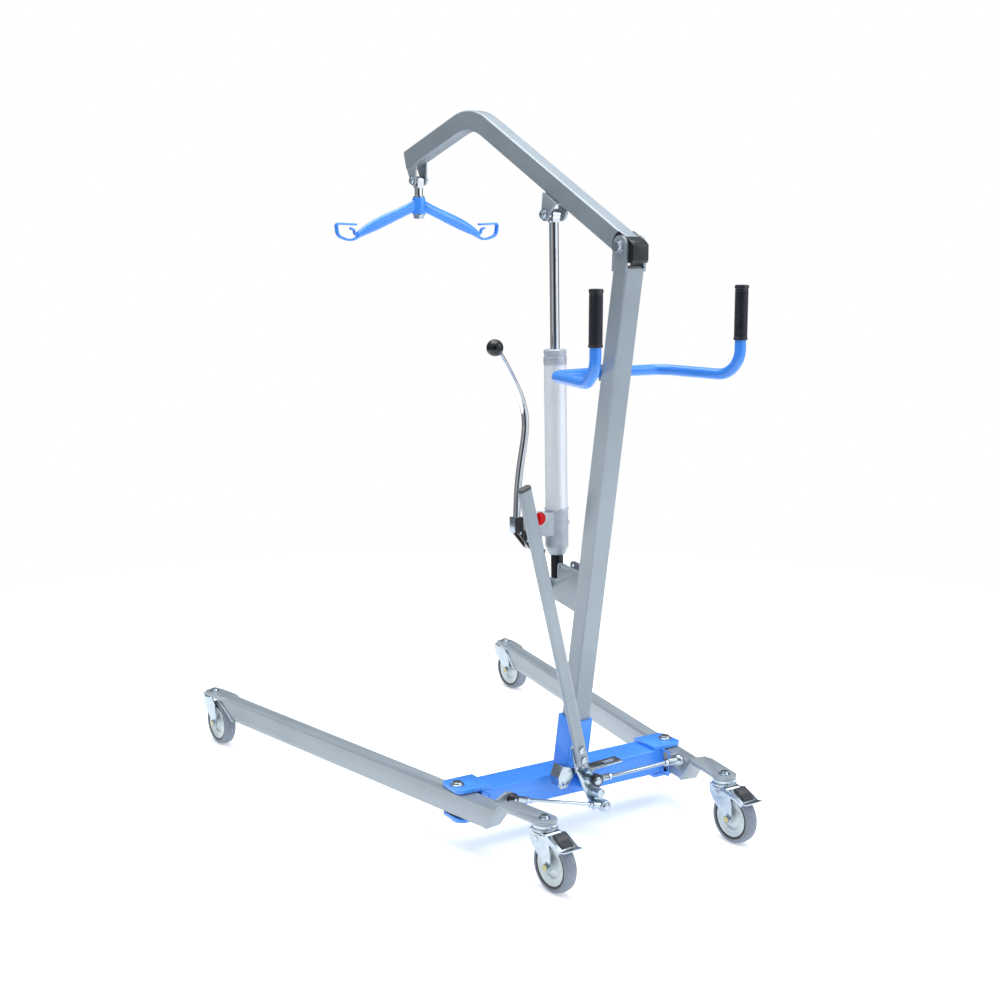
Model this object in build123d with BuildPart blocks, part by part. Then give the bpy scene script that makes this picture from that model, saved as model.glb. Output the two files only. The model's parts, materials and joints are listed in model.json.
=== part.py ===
"""Patient lift hoist: a mobile hydraulic floor hoist with spreading legs.

Units are millimetres.  +Z is up, +Y is the operator's end and -Y the end that
goes under the bed.  The operator's left is +X.  The origin is on the floor,
below the middle of the hoist's outline.
"""

from build123d import *
from math import atan2, cos, hypot, radians, sin, tan
import os

os.makedirs("parts", exist_ok=True)

# ---- base ---------------------------------------------------------------
PIVOT_X = 250.0             # leg pivots, either side of the middle
PIVOT_Y = 268.0
SPLAY = 9.9                 # each leg, opened
LEG_W, LEG_H, LEG_Z = 35.0, 45.0, 70.0
LEG_WALL = 2.5
LEG_FRONT = 850.3           # pivot to front caster bolt
LEG_REAR = 237.6            # pivot to rear caster bolt
LEG_TOP = LEG_Z + LEG_H
PLATE_T = 6.0               # caster plates
REAR_PLATE_Z = 121.0        # underside of the rear caster plate
FRONT_PLATE_Z = LEG_TOP - PLATE_T
BAR_W, BAR_H, BAR_Z = 70.0, 50.0, 67.0
BAR_HALF = 218.0
BAR_TOP = BAR_Z + BAR_H
TONGUE_T = 7.0
TONGUE_END = 267.0
PIVOT_PIN_R = 8.0
BUSH_R = 11.0
FIT = 0.05                  # radial clearance of every running fit

# ---- mast ---------------------------------------------------------------
LEAN = 9.79                 # degrees, towards the operator
MAST_W, MAST_WALL, MAST_CORNER = 40.0, 2.5, 4.0
MAST_FOOT_Y = PIVOT_Y + 14.3
MAST_TOP = 1092.0
SOCKET_TOP = 226.0
EAR_IN, EAR_T, EAR_R = 17.5, 5.0, 20.0

# ---- boom ---------------------------------------------------------------
BOOM_PIVOT = (PIVOT_Y + 184.0, 1130.0)          # y, z
BOOM_BEND = (PIVOT_Y - 335.0, 1385.5)
BOOM_FRONT = (PIVOT_Y - 600.0, 1304.0)
BOOM_W, BOOM_D, BOOM_WALL = 30.0, 40.0, 2.5
BOOM_BEND_R = 150.0
CLEVIS = (PIVOT_Y - 53.0, 1187.0)
HANGER = (PIVOT_Y - 567.0, 1261.0)
BOLT_R = 5.0

# ---- lifting cylinder ---------------------------------------------------
FOOT = (PIVOT_Y - 33.0, 478.0)
TUBE_R, ROD_R, SHAFT_R = 21.5, 9.0, 12.0
BODY_LOW, BODY_TOP = 58.0, 149.0                # along the cylinder, from its foot pivot
HEAD_LOW, HEAD_TOP = 427.0, 456.0
TUBE_BORE, PISTON_TOP = 17.0, 392.0
LEVER_PIVOT = (62.0, 84.0)                      # sideways, along
KNOB = (55.5, 136.0)

# ---- spread lever and tie rods -----------------------------------------
CRANK = (-3.0, 92.0)                            # x, z of the crank pivot
CRANK_TILT = 19.6                               # lever's angle with the legs open
CRANK_R = 30.0
CRANK_Y = PIVOT_Y + 84.0                        # front face of the crank plate
BALL_Y = PIVOT_Y + 110.0
LEG_BALL = (197.0, 111.0, 121.0)                # x, y behind the pivot line, z
BALL_R = 7.0

# ---- push handle --------------------------------------------------------
HANDLE_Z = 903.0
HANDLE_R, GRIP_R = 10.0, 12.5
GRIP = (158.8, PIVOT_Y + 303.3)
GRIP_LOW, GRIP_TOP = 967.0, 1064.0

# ---- casters ------------------------------------------------------------
WHEEL_R, WHEEL_W = 50.0, 26.0
RIM_R = 38.5
TRAIL = 31.0
RACE_H = 13.0               # bearing race above a rear fork
PEDAL_PIVOT = (4.0, 95.0)   # along the trail, height
REAR_TRAIL_DIR, FRONT_TRAIL_DIR = 94.0, 94.0   # degrees from +X


def save(piece, name):
    """Label a finished piece and write it."""
    piece.part.label = name
    export_step(piece.part, f"parts/{name}.step")


def along_y(x, y, z):
    """Plane whose normal is +Y, with its x axis along +X reversed."""
    return Plane(origin=(x, y, z), x_dir=(-1, 0, 0), z_dir=(0, 1, 0))


def side_plane(x=0.0):
    """Plane of the hoist's side view: its x is +Y and its y is +Z."""
    return Plane(origin=(x, 0, 0), x_dir=(0, 1, 0), z_dir=(1, 0, 0))


def mast_y(z):
    return MAST_FOOT_Y + (z - BAR_TOP) * tan(radians(LEAN))


def mast_plane(z):
    """Plane across the mast at height z on its axis."""
    return Plane(origin=(0, mast_y(z), z), x_dir=(1, 0, 0),
                 z_dir=(0, sin(radians(LEAN)), cos(radians(LEAN))))


# =========================================================================
# Chassis
# =========================================================================
def make_crossbar():
    with BuildPart() as crossbar:
        with BuildSketch(Plane.YZ.offset(-BAR_HALF)):
            with Locations((PIVOT_Y, BAR_Z + BAR_H / 2)):
                RectangleRounded(BAR_W, BAR_H, 4)
                RectangleRounded(BAR_W - 6, BAR_H - 6, 1.5, mode=Mode.SUBTRACT)
        extrude(amount=2 * BAR_HALF)
        for side in (-1, 1):
            # end flange
            with BuildSketch(Plane.YZ.offset(side * (BAR_HALF - 2))):
                with Locations((PIVOT_Y, BAR_Z + BAR_H / 2)):
                    RectangleRounded(BAR_W + 4, BAR_H + 3, 4)
            extrude(amount=2, both=True)
            # upper and lower tongues that hold the leg between them
            for low in (BAR_Z - TONGUE_T, BAR_TOP):
                with BuildSketch(Plane.XY.offset(low)) as tongue:
                    with Locations((side * (TONGUE_END + 196) / 2, PIVOT_Y)):
                        Rectangle(TONGUE_END - 196, BAR_W)
                    outer = tongue.vertices().group_by(Axis.X)[-1 if side > 0 else 0]
                    fillet(outer, 15)
                extrude(amount=TONGUE_T)
                with Locations((side * PIVOT_X, PIVOT_Y, low)):
                    Cylinder(PIVOT_PIN_R, 4 * TONGUE_T, mode=Mode.SUBTRACT)
        # boss that carries the crank
        with BuildSketch(along_y(CRANK[0], PIVOT_Y + BAR_W / 2 - 1, CRANK[1])):
            Circle(12.5)
        extrude(amount=CRANK_Y - PIVOT_Y - BAR_W / 2)
        with BuildSketch(along_y(CRANK[0], PIVOT_Y + BAR_W / 2 - 4, CRANK[1])):
            Circle(6 + FIT)
        extrude(amount=CRANK_Y - PIVOT_Y, mode=Mode.SUBTRACT)
    save(crossbar, "crossbar")


def make_mast_socket():
    with BuildPart() as socket:
        with BuildSketch(mast_plane(BAR_TOP - 12)):
            RectangleRounded(50, 48, 3)
            RectangleRounded(MAST_W, MAST_W, MAST_CORNER, mode=Mode.SUBTRACT)
        extrude(amount=SOCKET_TOP - BAR_TOP + 12)
        split(bisect_by=Plane.XY.offset(BAR_TOP), keep=Keep.TOP)
        # weld flange round the foot
        with BuildSketch(Plane.XY.offset(BAR_TOP)):
            with Locations((0, MAST_FOOT_Y)):
                RectangleRounded(62, 56, 4)
        extrude(amount=3)
        with BuildSketch(mast_plane(BAR_TOP - 12)):
            RectangleRounded(MAST_W, MAST_W, MAST_CORNER)
        extrude(amount=40, mode=Mode.SUBTRACT)
    save(socket, "mast_socket")


def make_socket_screws():
    """Two screws that clamp the mast in its socket, one above the other."""
    with BuildPart() as screws:
        for z in (BAR_TOP + 32, BAR_TOP + 76):
            with BuildSketch(Plane(origin=(-25, mast_y(z), z), x_dir=(0, 1, 0), z_dir=(-1, 0, 0))):
                RegularPolygon(7.5, 6)
            extrude(amount=5)
    save(screws, "socket_screws")


def make_mast():
    with BuildPart() as mast:
        with BuildSketch(mast_plane(BAR_TOP - 12)):
            RectangleRounded(MAST_W, MAST_W, MAST_CORNER)
            RectangleRounded(MAST_W - 2 * MAST_WALL, MAST_W - 2 * MAST_WALL, 1.5, mode=Mode.SUBTRACT)
        extrude(amount=(MAST_TOP - BAR_TOP + 30) / cos(radians(LEAN)))
        split(bisect_by=Plane.XY.offset(BAR_TOP), keep=Keep.TOP)
        split(bisect_by=Plane.XY.offset(MAST_TOP), keep=Keep.BOTTOM)
        # fork ears for the boom
        low = MAST_TOP - 5
        ear_half = MAST_W / 2 / cos(radians(LEAN))
        for side in (-1, 1):
            with BuildSketch(side_plane(side * EAR_IN)):
                with BuildLine():
                    Polyline((mast_y(low) - ear_half, low), (mast_y(low) + ear_half, low),
                             (mast_y(MAST_TOP) + ear_half, MAST_TOP),
                             (BOOM_PIVOT[0] + EAR_R, BOOM_PIVOT[1]),
                             (BOOM_PIVOT[0] - EAR_R, BOOM_PIVOT[1]),
                             (mast_y(MAST_TOP) - ear_half, MAST_TOP), close=True)
                make_face()
                with Locations(BOOM_PIVOT):
                    Circle(EAR_R)
            extrude(amount=side * EAR_T)
        with Locations(Plane(origin=(0, *BOOM_PIVOT), x_dir=(0, 1, 0), z_dir=(1, 0, 0))):
            Cylinder(6, 80, mode=Mode.SUBTRACT)
    save(mast, "mast")


def make_mast_top_cap():
    """Plug that closes the mast's top between the boom's fork ears."""
    with BuildPart() as cap:
        with BuildSketch(mast_plane(MAST_TOP - 15)):
            RectangleRounded(34.8, 34.8, 1.5)
        extrude(amount=25)
        split(bisect_by=Plane.XY.offset(MAST_TOP), keep=Keep.BOTTOM)
        # head, set back so that the lowered boom clears it
        with BuildSketch(Plane.XY.offset(MAST_TOP)):
            with Locations((0, mast_y(MAST_TOP) + 6)):
                RectangleRounded(34.8, 23, 2)
        extrude(amount=5)
        chamfer(cap.faces().sort_by(Axis.Z)[-1].edges(), 1)
    save(cap, "mast_top_cap")


def make_boom_pivot_bolt():
    with BuildPart() as bolt:
        with Locations(Plane(origin=(0, *BOOM_PIVOT), x_dir=(0, 1, 0), z_dir=(1, 0, 0))):
            Cylinder(6, 60)
        for side in (-1, 1):
            face = Plane(origin=(side * (EAR_IN + EAR_T), *BOOM_PIVOT), x_dir=(0, 1, 0), z_dir=(side, 0, 0))
            with BuildSketch(face):
                Circle(12)
            extrude(amount=1.5)
            with BuildSketch(face.offset(1.5)):
                RegularPolygon(10.4, 6)
            extrude(amount=6.5)
    save(bolt, "boom_pivot_bolt")


BRACKET_IN, BRACKET_T = 13.0, 4.0
SPARE_HOLE = (PIVOT_Y + 0.2, 517.5)
SPARE_HOLE_R = 4.0


def make_pump_bracket():
    """U bracket on the mast's front face: two cheeks, each with a lower ear for
    the cylinder's foot and an upper ear with a spare hole."""
    top, low = 519.0, 440.0
    front = lambda z: mast_y(z) - MAST_W / 2 / cos(radians(LEAN))
    with BuildPart() as bracket:
        for side in (-1, 1):
            with BuildSketch(side_plane(side * BRACKET_IN)):
                with BuildLine():
                    Polyline((front(top), top), (SPARE_HOLE[0] + 4, 526.5), (SPARE_HOLE[0] - 8, 522),
                             (PIVOT_Y - 9.0, 493.0), (FOOT[0] + 4, 491), (FOOT[0] - 12, 478),
                             (FOOT[0] - 4, 465), (PIVOT_Y - 16.5, 450), (front(low), low), close=True)
                make_face()
                with Locations(FOOT):
                    Circle(13)
                with Locations(SPARE_HOLE):
                    Circle(8.5)
                    Circle(SPARE_HOLE_R, mode=Mode.SUBTRACT)
                with Locations(FOOT):
                    Circle(BOLT_R, mode=Mode.SUBTRACT)
            extrude(amount=side * BRACKET_T)
        # back plate against the mast
        with BuildSketch(side_plane(-BRACKET_IN)):
            with BuildLine():
                Polyline((front(top), top), (front(top) - 4, top), (front(low) - 4, low), (front(low), low),
                         close=True)
            make_face()
        extrude(amount=2 * BRACKET_IN)
    save(bracket, "pump_bracket")


def make_foot_pivot_bolt():
    with BuildPart() as bolt:
        with Locations(Plane(origin=(0, *FOOT), x_dir=(0, 1, 0), z_dir=(1, 0, 0))):
            Cylinder(BOLT_R, 44)
        for side in (-1, 1):
            with BuildSketch(Plane(origin=(side * (BRACKET_IN + BRACKET_T), *FOOT), x_dir=(0, 1, 0),
                                   z_dir=(side, 0, 0))):
                RegularPolygon(9.2, 6)
            extrude(amount=6)
    save(bolt, "foot_pivot_bolt")


def make_leg_pivots():
    with BuildPart() as bolts:
        for side in (-1, 1):
            with Locations((side * PIVOT_X, PIVOT_Y, (BAR_Z - TONGUE_T + BAR_TOP + TONGUE_T) / 2)):
                Cylinder(PIVOT_PIN_R, BAR_H + 2 * TONGUE_T + 6)
            with BuildSketch(Plane.XY.offset(BAR_TOP + TONGUE_T)):
                with Locations((side * PIVOT_X, PIVOT_Y)):
                    Circle(13.5)
            extrude(amount=2)
            with BuildSketch(Plane.XY.offset(BAR_TOP + TONGUE_T + 2)):
                with Locations((side * PIVOT_X, PIVOT_Y)):
                    Circle(11)
            extrude(amount=4, taper=20)
            with BuildSketch(Plane.XY.offset(BAR_Z - TONGUE_T)):
                with Locations((side * PIVOT_X, PIVOT_Y)):
                    RegularPolygon(13, 6)
            extrude(amount=-8)
    save(bolts, "leg_pivot_bolts")
    with BuildPart() as bushes:
        for side in (-1, 1):
            with BuildSketch(Plane.XY.offset(BAR_Z)):
                with Locations((side * PIVOT_X, PIVOT_Y)):
                    Circle(BUSH_R)
                    Circle(PIVOT_PIN_R + FIT, mode=Mode.SUBTRACT)
            extrude(amount=BAR_H)
            # thrust washers above and below the leg
            for low, thick in ((BAR_Z, LEG_Z - BAR_Z - 0.2), (LEG_TOP + 0.2, BAR_TOP - LEG_TOP - 0.2)):
                with BuildSketch(Plane.XY.offset(low)):
                    with Locations((side * PIVOT_X, PIVOT_Y)):
                        Circle(16)
                        Circle(PIVOT_PIN_R + FIT, mode=Mode.SUBTRACT)
                extrude(amount=thick)
    save(bushes, "leg_pivot_bushes")


def make_stop_plate():
    """Pressed strip above the crank boss, with a turned-down stop at its left
    end and a slot at its right end."""
    low = CRANK[1] + 12.5
    y0, y1 = PIVOT_Y + 48.0, PIVOT_Y + 76.0
    with BuildPart() as stop:
        with BuildSketch(Plane(origin=(0, y0, 0), x_dir=(1, 0, 0), z_dir=(0, -1, 0))):
            with BuildLine():
                Polyline((CRANK[0] - 9, low - 6), (CRANK[0] - 9, 124), (-84, 128), (-84, 131.5), (-7, 128),
                         (6, 128), (40, 140), (60, 146), (70, 124), (66, 104), (62.5, 105), (65, 124),
                         (57, 141), (42, 136), (CRANK[0] + 9, 124), (CRANK[0] + 9, low - 6), close=True)
            make_face()
        extrude(amount=-(y1 - y0))
        with BuildSketch(along_y(CRANK[0], y0 - 1, CRANK[1])):
            Circle(12.5)
        extrude(amount=y1 - y0 + 2, mode=Mode.SUBTRACT)
        # gusset with a hole, turned down from the left end
        with BuildSketch(Plane(origin=(0, y1, 0), x_dir=(1, 0, 0), z_dir=(0, -1, 0))):
            with BuildLine():
                Polyline((26, 132), (42, 138), (58, 143), (68, 124), (65, 101), (51, 101), close=True)
            make_face()
            with Locations((58, 109)):
                Circle(3, mode=Mode.SUBTRACT)
        extrude(amount=2.5)
        with BuildSketch(Plane.XY.offset(120)):
            with Locations((-60, (y0 + y1) / 2)):
                SlotOverall(26, 8)
        extrude(amount=20, mode=Mode.SUBTRACT)
    save(stop, "stop_plate")


def make_push_handle():
    front = mast_y(HANDLE_Z) - MAST_W / 2 / cos(radians(LEAN)) - 0.3
    with BuildPart() as handle:
        with BuildLine() as path:
            FilletPolyline((-GRIP[0], GRIP[1], GRIP_TOP - 3), (-GRIP[0], GRIP[1], HANDLE_Z),
                           (-123, PIVOT_Y + 128, HANDLE_Z), (-45, front - HANDLE_R, HANDLE_Z),
                           (45, front - HANDLE_R, HANDLE_Z), (123, PIVOT_Y + 128, HANDLE_Z),
                           (GRIP[0], GRIP[1], HANDLE_Z), (GRIP[0], GRIP[1], GRIP_TOP - 3),
                           radius=[48, 34, 60, 60, 34, 48])
        with BuildSketch(Plane(origin=path.line @ 0, z_dir=path.line % 0)):
            Circle(HANDLE_R)
            Circle(HANDLE_R - 2, mode=Mode.SUBTRACT)
        sweep()
    save(handle, "push_handle")


def make_handle_saddle():
    """Saddle and two bolts that hold the handle to the mast's front face."""
    front = mast_y(HANDLE_Z) - MAST_W / 2 / cos(radians(LEAN))
    centre = front - 0.3 - HANDLE_R
    with BuildPart() as saddle:
        with BuildSketch(side_plane(-18)):
            with BuildLine():
                shift = 15 * tan(radians(LEAN))
                Polyline((front - shift, HANDLE_Z - 15), (front + shift, HANDLE_Z + 15),
                         (front - 9, HANDLE_Z + 15), (front - 9, HANDLE_Z - 15), close=True)
            make_face()
        extrude(amount=36)
        with Locations(Plane(origin=(0, centre, HANDLE_Z), z_dir=(1, 0, 0))):
            Cylinder(HANDLE_R, 60, mode=Mode.SUBTRACT)
        for x in (-10, 10):
            with BuildSketch(Plane(origin=(x, centre - HANDLE_R, HANDLE_Z), x_dir=(1, 0, 0),
                                   z_dir=(0, -1, 0))):
                RegularPolygon(6, 6)
            extrude(amount=4)
    save(saddle, "handle_saddle")


def make_handle_grips():
    """Ribbed tube grips with a rolled bead at each end."""
    with BuildPart() as grips:
        for side in (-1, 1):
            with BuildSketch(Plane(origin=(side * GRIP[0], GRIP[1], 0), x_dir=(1, 0, 0), z_dir=(0, -1, 0))):
                with BuildLine():
                    outline = [(HANDLE_R, GRIP_LOW), (GRIP_R, GRIP_LOW), (GRIP_R, GRIP_LOW + 7)]
                    for rib in range(11):
                        z = GRIP_LOW + 7 + rib * 7.5
                        outline += [(GRIP_R - 1, z + 1), (GRIP_R - 1, z + 6.5), (GRIP_R - 0.4, z + 7.5)]
                    outline += [(GRIP_R, GRIP_TOP - 6), (GRIP_R, GRIP_TOP - 1), (GRIP_R - 1.5, GRIP_TOP),
                                (0, GRIP_TOP), (0, GRIP_TOP - 3), (HANDLE_R, GRIP_TOP - 3)]
                    Polyline(*outline, close=True)
                make_face()
            revolve(axis=Axis((side * GRIP[0], GRIP[1], 0), (0, 0, 1)))
    save(grips, "handle_grips")


# =========================================================================
# Boom, hanger and spreader
# =========================================================================
def boom_dir():
    dy, dz = BOOM_BEND[0] - BOOM_PIVOT[0], BOOM_BEND[1] - BOOM_PIVOT[1]
    return dy / hypot(dy, dz), dz / hypot(dy, dz)


def boom_path():
    with BuildLine(side_plane()) as path:
        FilletPolyline(BOOM_PIVOT, BOOM_BEND, BOOM_FRONT, radius=BOOM_BEND_R)
    return path.line


def make_boom():
    path = boom_path()
    with BuildPart() as boom:
        with BuildSketch(Plane(origin=path @ 0, x_dir=(1, 0, 0), z_dir=path % 0)):
            RectangleRounded(BOOM_W, BOOM_D, 3.5)
            RectangleRounded(BOOM_W - 2 * BOOM_WALL, BOOM_D - 2 * BOOM_WALL, 1.2, mode=Mode.SUBTRACT)
        sweep(path=path)
        # closed front end and rounded rear end
        with BuildSketch(Plane(origin=path @ 1, x_dir=(1, 0, 0), z_dir=path % 1)):
            RectangleRounded(BOOM_W, BOOM_D, 3.5)
        extrude(amount=-3)
        with BuildSketch(side_plane(-BOOM_W / 2)):
            with Locations(BOOM_PIVOT):
                Circle(BOOM_D / 2)
        extrude(amount=BOOM_W)
        with Locations(Plane(origin=(0, *BOOM_PIVOT), x_dir=(0, 1, 0), z_dir=(1, 0, 0))):
            Cylinder(6 + FIT, 80, mode=Mode.SUBTRACT)
    save(boom, "boom")
    return boom


def make_boom_end_cap(boom):
    """Black cap over the boom's rear end, with a cheek on each side."""
    dy, dz = boom_dir()
    up_y, up_z = dz, -dy
    half = BOOM_D / 2

    def at(along, up):
        return (BOOM_PIVOT[0] + along * dy + up * up_y, BOOM_PIVOT[1] + along * dz + up * up_z)

    with BuildPart() as cap:
        with BuildSketch(side_plane(-EAR_IN + 0.5)):
            with Locations(BOOM_PIVOT):
                Circle(29)
            with BuildLine():
                Polyline(at(30, half), at(-28, half), (BOOM_PIVOT[0] + 33, at(-34, half)[1] + 1),
                         (BOOM_PIVOT[0] + 33, BOOM_PIVOT[1] - 29), (BOOM_PIVOT[0] + 8, BOOM_PIVOT[1] - 29),
                         at(-6, -half), at(30, -half), close=True)
            make_face(mode=Mode.INTERSECT)
            with BuildLine():
                Polyline((BOOM_PIVOT[0] + 6, BOOM_PIVOT[1] - 27), at(-20, half),
                         (BOOM_PIVOT[0] + 33, at(-34, half)[1] + 1),
                         (BOOM_PIVOT[0] + 33, BOOM_PIVOT[1] - 23), (BOOM_PIVOT[0] + 30, BOOM_PIVOT[1] - 28),
                         close=True)
            make_face()
        extrude(amount=2 * EAR_IN - 1)
        add(boom.part, mode=Mode.SUBTRACT)
        with BuildSketch(side_plane(-BOOM_W / 2)):
            with Locations(BOOM_PIVOT):
                Circle(BOOM_D / 2)
        extrude(amount=BOOM_W, mode=Mode.SUBTRACT)
        with BuildSketch(Plane(origin=(0, *BOOM_PIVOT), x_dir=(1, 0, 0), z_dir=(0, dy, dz))):
            Rectangle(BOOM_W, BOOM_D)
        extrude(amount=60, mode=Mode.SUBTRACT)
        with Locations(Plane(origin=(0, *BOOM_PIVOT), x_dir=(0, 1, 0), z_dir=(1, 0, 0))):
            Cylinder(6 + FIT, 80, mode=Mode.SUBTRACT)
    save(cap, "boom_end_cap")


CLEVIS_IN, CLEVIS_T = 17.0, 4.0


def make_boom_clevis():
    """U bracket welded under the boom, open below and at the front and back."""
    dy, dz = boom_dir()
    up_y, up_z = dz, -dy
    foot_along = (CLEVIS[0] - BOOM_PIVOT[0]) * dy + (CLEVIS[1] - BOOM_PIVOT[1]) * dz

    def at(along, up):
        return (BOOM_PIVOT[0] + along * dy + up * up_y, BOOM_PIVOT[1] + along * dz + up * up_z)

    with BuildPart() as clevis:
        under = -BOOM_D / 2
        for side in (-1, 1):
            with BuildSketch(side_plane(side * CLEVIS_IN)) as ear:
                with BuildLine():
                    Polyline(at(foot_along - 24, under), at(foot_along + 24, under),
                             (CLEVIS[0] - 12, CLEVIS[1]), (CLEVIS[0] + 12, CLEVIS[1]), close=True)
                make_face()
                with Locations(CLEVIS):
                    Circle(12.5)
                    Circle(BOLT_R, mode=Mode.SUBTRACT)
            extrude(amount=side * CLEVIS_T)
        with BuildSketch(side_plane(-CLEVIS_IN)):
            with BuildLine():
                Polyline(at(foot_along - 24, under), at(foot_along + 24, under),
                         at(foot_along + 23, under - 3), at(foot_along - 23, under - 3), close=True)
            make_face()
        extrude(amount=2 * CLEVIS_IN)
    save(clevis, "boom_clevis")
    with BuildPart() as studs:
        for side in (-1, 1):
            inner = Plane(origin=(side * (CLEVIS_IN - 1), *CLEVIS), x_dir=(0, 1, 0), z_dir=(side, 0, 0))
            with BuildSketch(inner):
                Circle(BOLT_R)
            extrude(amount=CLEVIS_T + 10)
            with BuildSketch(inner.offset(CLEVIS_T + 1)):
                Circle(9)
            extrude(amount=1.5)
            with BuildSketch(inner.offset(CLEVIS_T + 2.5)):
                RegularPolygon(8.6, 6)
            extrude(amount=5.5)
    save(studs, "clevis_studs")


def make_hanger_lugs():
    path = boom_path()
    end, run = path @ 1, path % 1

    def at(back, down):
        return (end.Y - back * run.Y - down * run.Z, end.Z - back * run.Z + down * run.Y)

    with BuildPart() as lugs:
        for side in (-1, 1):
            with BuildSketch(side_plane(side * 11)):
                with BuildLine():
                    Polyline(at(1, 17), at(43, 17), (HANGER[0] + 11, HANGER[1]), (HANGER[0] - 11, HANGER[1]),
                             close=True)
                make_face()
                with Locations(HANGER):
                    Circle(11)
                    Circle(BOLT_R, mode=Mode.SUBTRACT)
            extrude(amount=side * 4)
        with BuildSketch(Plane(origin=path @ 1, x_dir=(1, 0, 0), z_dir=path % 1)):
            Rectangle(BOOM_W + 1, BOOM_D)
        extrude(amount=-120, mode=Mode.SUBTRACT)
    save(lugs, "hanger_lugs")
    with BuildPart() as bolt:
        with Locations(Plane(origin=(0, *HANGER), x_dir=(0, 1, 0), z_dir=(1, 0, 0))):
            Cylinder(BOLT_R, 42)
        for side in (-1, 1):
            with BuildSketch(Plane(origin=(side * 15, *HANGER), x_dir=(0, 1, 0), z_dir=(side, 0, 0))):
                RegularPolygon(8.2, 6)
            extrude(amount=5)
    save(bolt, "hanger_bolt")


HUB_LOW, HUB_TOP, HUB_R = 1190.0, 1225.0, 14.0
PIN_R = 9.0


def make_hanger_pin():
    with BuildPart() as pin:
        with BuildSketch(Plane.XY.offset(1180)):
            with Locations((0, HANGER[0])):
                Circle(PIN_R)
        extrude(amount=HANGER[1] - 13 - 1180)
        # flat eye between the lugs
        with BuildSketch(side_plane(-7.5)):
            with Locations(HANGER):
                Circle(PIN_R)
            with Locations((HANGER[0], HANGER[1] - 8)):
                Rectangle(2 * PIN_R, 16)
            with Locations(HANGER):
                Circle(BOLT_R + FIT, mode=Mode.SUBTRACT)
        extrude(amount=15)
    save(pin, "hanger_pin")
    with BuildPart() as nut:
        with BuildSketch(Plane.XY.offset(HUB_LOW - 9)):
            with Locations((0, HANGER[0])):
                RegularPolygon(13, 6)
                Circle(PIN_R, mode=Mode.SUBTRACT)
        extrude(amount=7)
        with BuildSketch(Plane.XY.offset(HUB_LOW - 2)):
            with Locations((0, HANGER[0])):
                Circle(13.5)
                Circle(PIN_R, mode=Mode.SUBTRACT)
        extrude(amount=1.7)
        # collar above the hub
        with BuildSketch(Plane.XY.offset(HUB_TOP + 0.3)):
            with Locations((0, HANGER[0])):
                Circle(12)
                Circle(PIN_R, mode=Mode.SUBTRACT)
        extrude(amount=3)
    save(nut, "swivel_nut")




def make_spreader():
    with BuildPart() as hub:
        with BuildSketch(Plane.XY.offset(HUB_LOW)):
            with Locations((0, HANGER[0])):
                Circle(HUB_R)
                Circle(PIN_R + FIT, mode=Mode.SUBTRACT)
        extrude(amount=HUB_TOP - HUB_LOW)
        chamfer(hub.edges().filter_by(GeomType.CIRCLE).group_by(Axis.Z)[-1], 1)
    save(hub, "spreader_hub")
    root, tip = (8.0, 1209.0), (150.0, 1149.0)
    slope = atan2(tip[1] - root[1], tip[0] - root[0])
    with BuildPart() as hooks:
        for side in (-1, 1):
            hook_plane = Plane(origin=(0, HANGER[0], 0), x_dir=(side, 0, 0), z_dir=(0, -side, 0))
            # open hook, then the guard that leaves a slot below its top bar
            loop = ((142, 1145), (166, 1133.5), (197, 1144), (200, 1170), (153, 1168)), [30, 16, 5], 12
            guard = ((150, 1144), (157, 1149), (158, 1157), (167, 1160)), [6, 4], 8
            for points, radii, wide in (loop, guard):
                with BuildLine(hook_plane) as path:
                    FilletPolyline(*points, radius=radii)
                with BuildSketch(Plane(origin=path.line @ 0, x_dir=(0, 1, 0), z_dir=path.line % 0)):
                    RectangleRounded(wide, 4.4, 1.5)
                sweep(path=path.line)
    save(hooks, "sling_hooks")
    with BuildPart() as arms:
        for side in (-1, 1):
            along = (side * cos(slope), 0, sin(slope))
            stations = ((0.0, 15.0, 24.0), (0.55, 15.0, 24.0), (0.85, 14.0, 20.0), (1.0, 12.0, 12.0))
            for at, wide, deep in stations:
                x = side * (root[0] + (tip[0] - root[0]) * at)
                z = root[1] + (tip[1] - root[1]) * at - (24 - deep) * 0.25
                with BuildSketch(Plane(origin=(x, HANGER[0], z), x_dir=(0, 1, 0), z_dir=along)):
                    Ellipse(wide / 2, deep / 2)
            loft()
        with Locations((0, HANGER[0], HUB_LOW + 20)):
            Cylinder(HUB_R, 80, mode=Mode.SUBTRACT)
        add(hooks.part, mode=Mode.SUBTRACT)
    save(arms, "spreader_arms")


# =========================================================================
# Lifting cylinder
# =========================================================================
def cylinder_plane(along=0.0, x=0.0):
    """Plane across the cylinder, at a distance along it from its foot pivot."""
    dy, dz = CLEVIS[0] - FOOT[0], CLEVIS[1] - FOOT[1]
    length = hypot(dy, dz)
    return Plane(origin=(x, FOOT[0] + along * dy / length, FOOT[1] + along * dz / length),
                 x_dir=(1, 0, 0), z_dir=(0, dy / length, dz / length))


def cylinder_front_plane():
    """Plane through the cylinder's axis: its x is +X, its y is along the axis."""
    base = cylinder_plane()
    return Plane(origin=base.origin, x_dir=(1, 0, 0), z_dir=-base.y_dir)


CYLINDER_LENGTH = hypot(CLEVIS[0] - FOOT[0], CLEVIS[1] - FOOT[1])


def turned(points):
    """Turned solid from a profile of (radius, along) points about the cylinder's axis."""
    base = cylinder_plane()
    with BuildPart(mode=Mode.PRIVATE) as solid:
        with BuildSketch(cylinder_front_plane()):
            with BuildLine():
                Polyline(*points, close=True)
            make_face()
        revolve(axis=Axis(base.origin, base.z_dir))
    return solid.part


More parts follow.
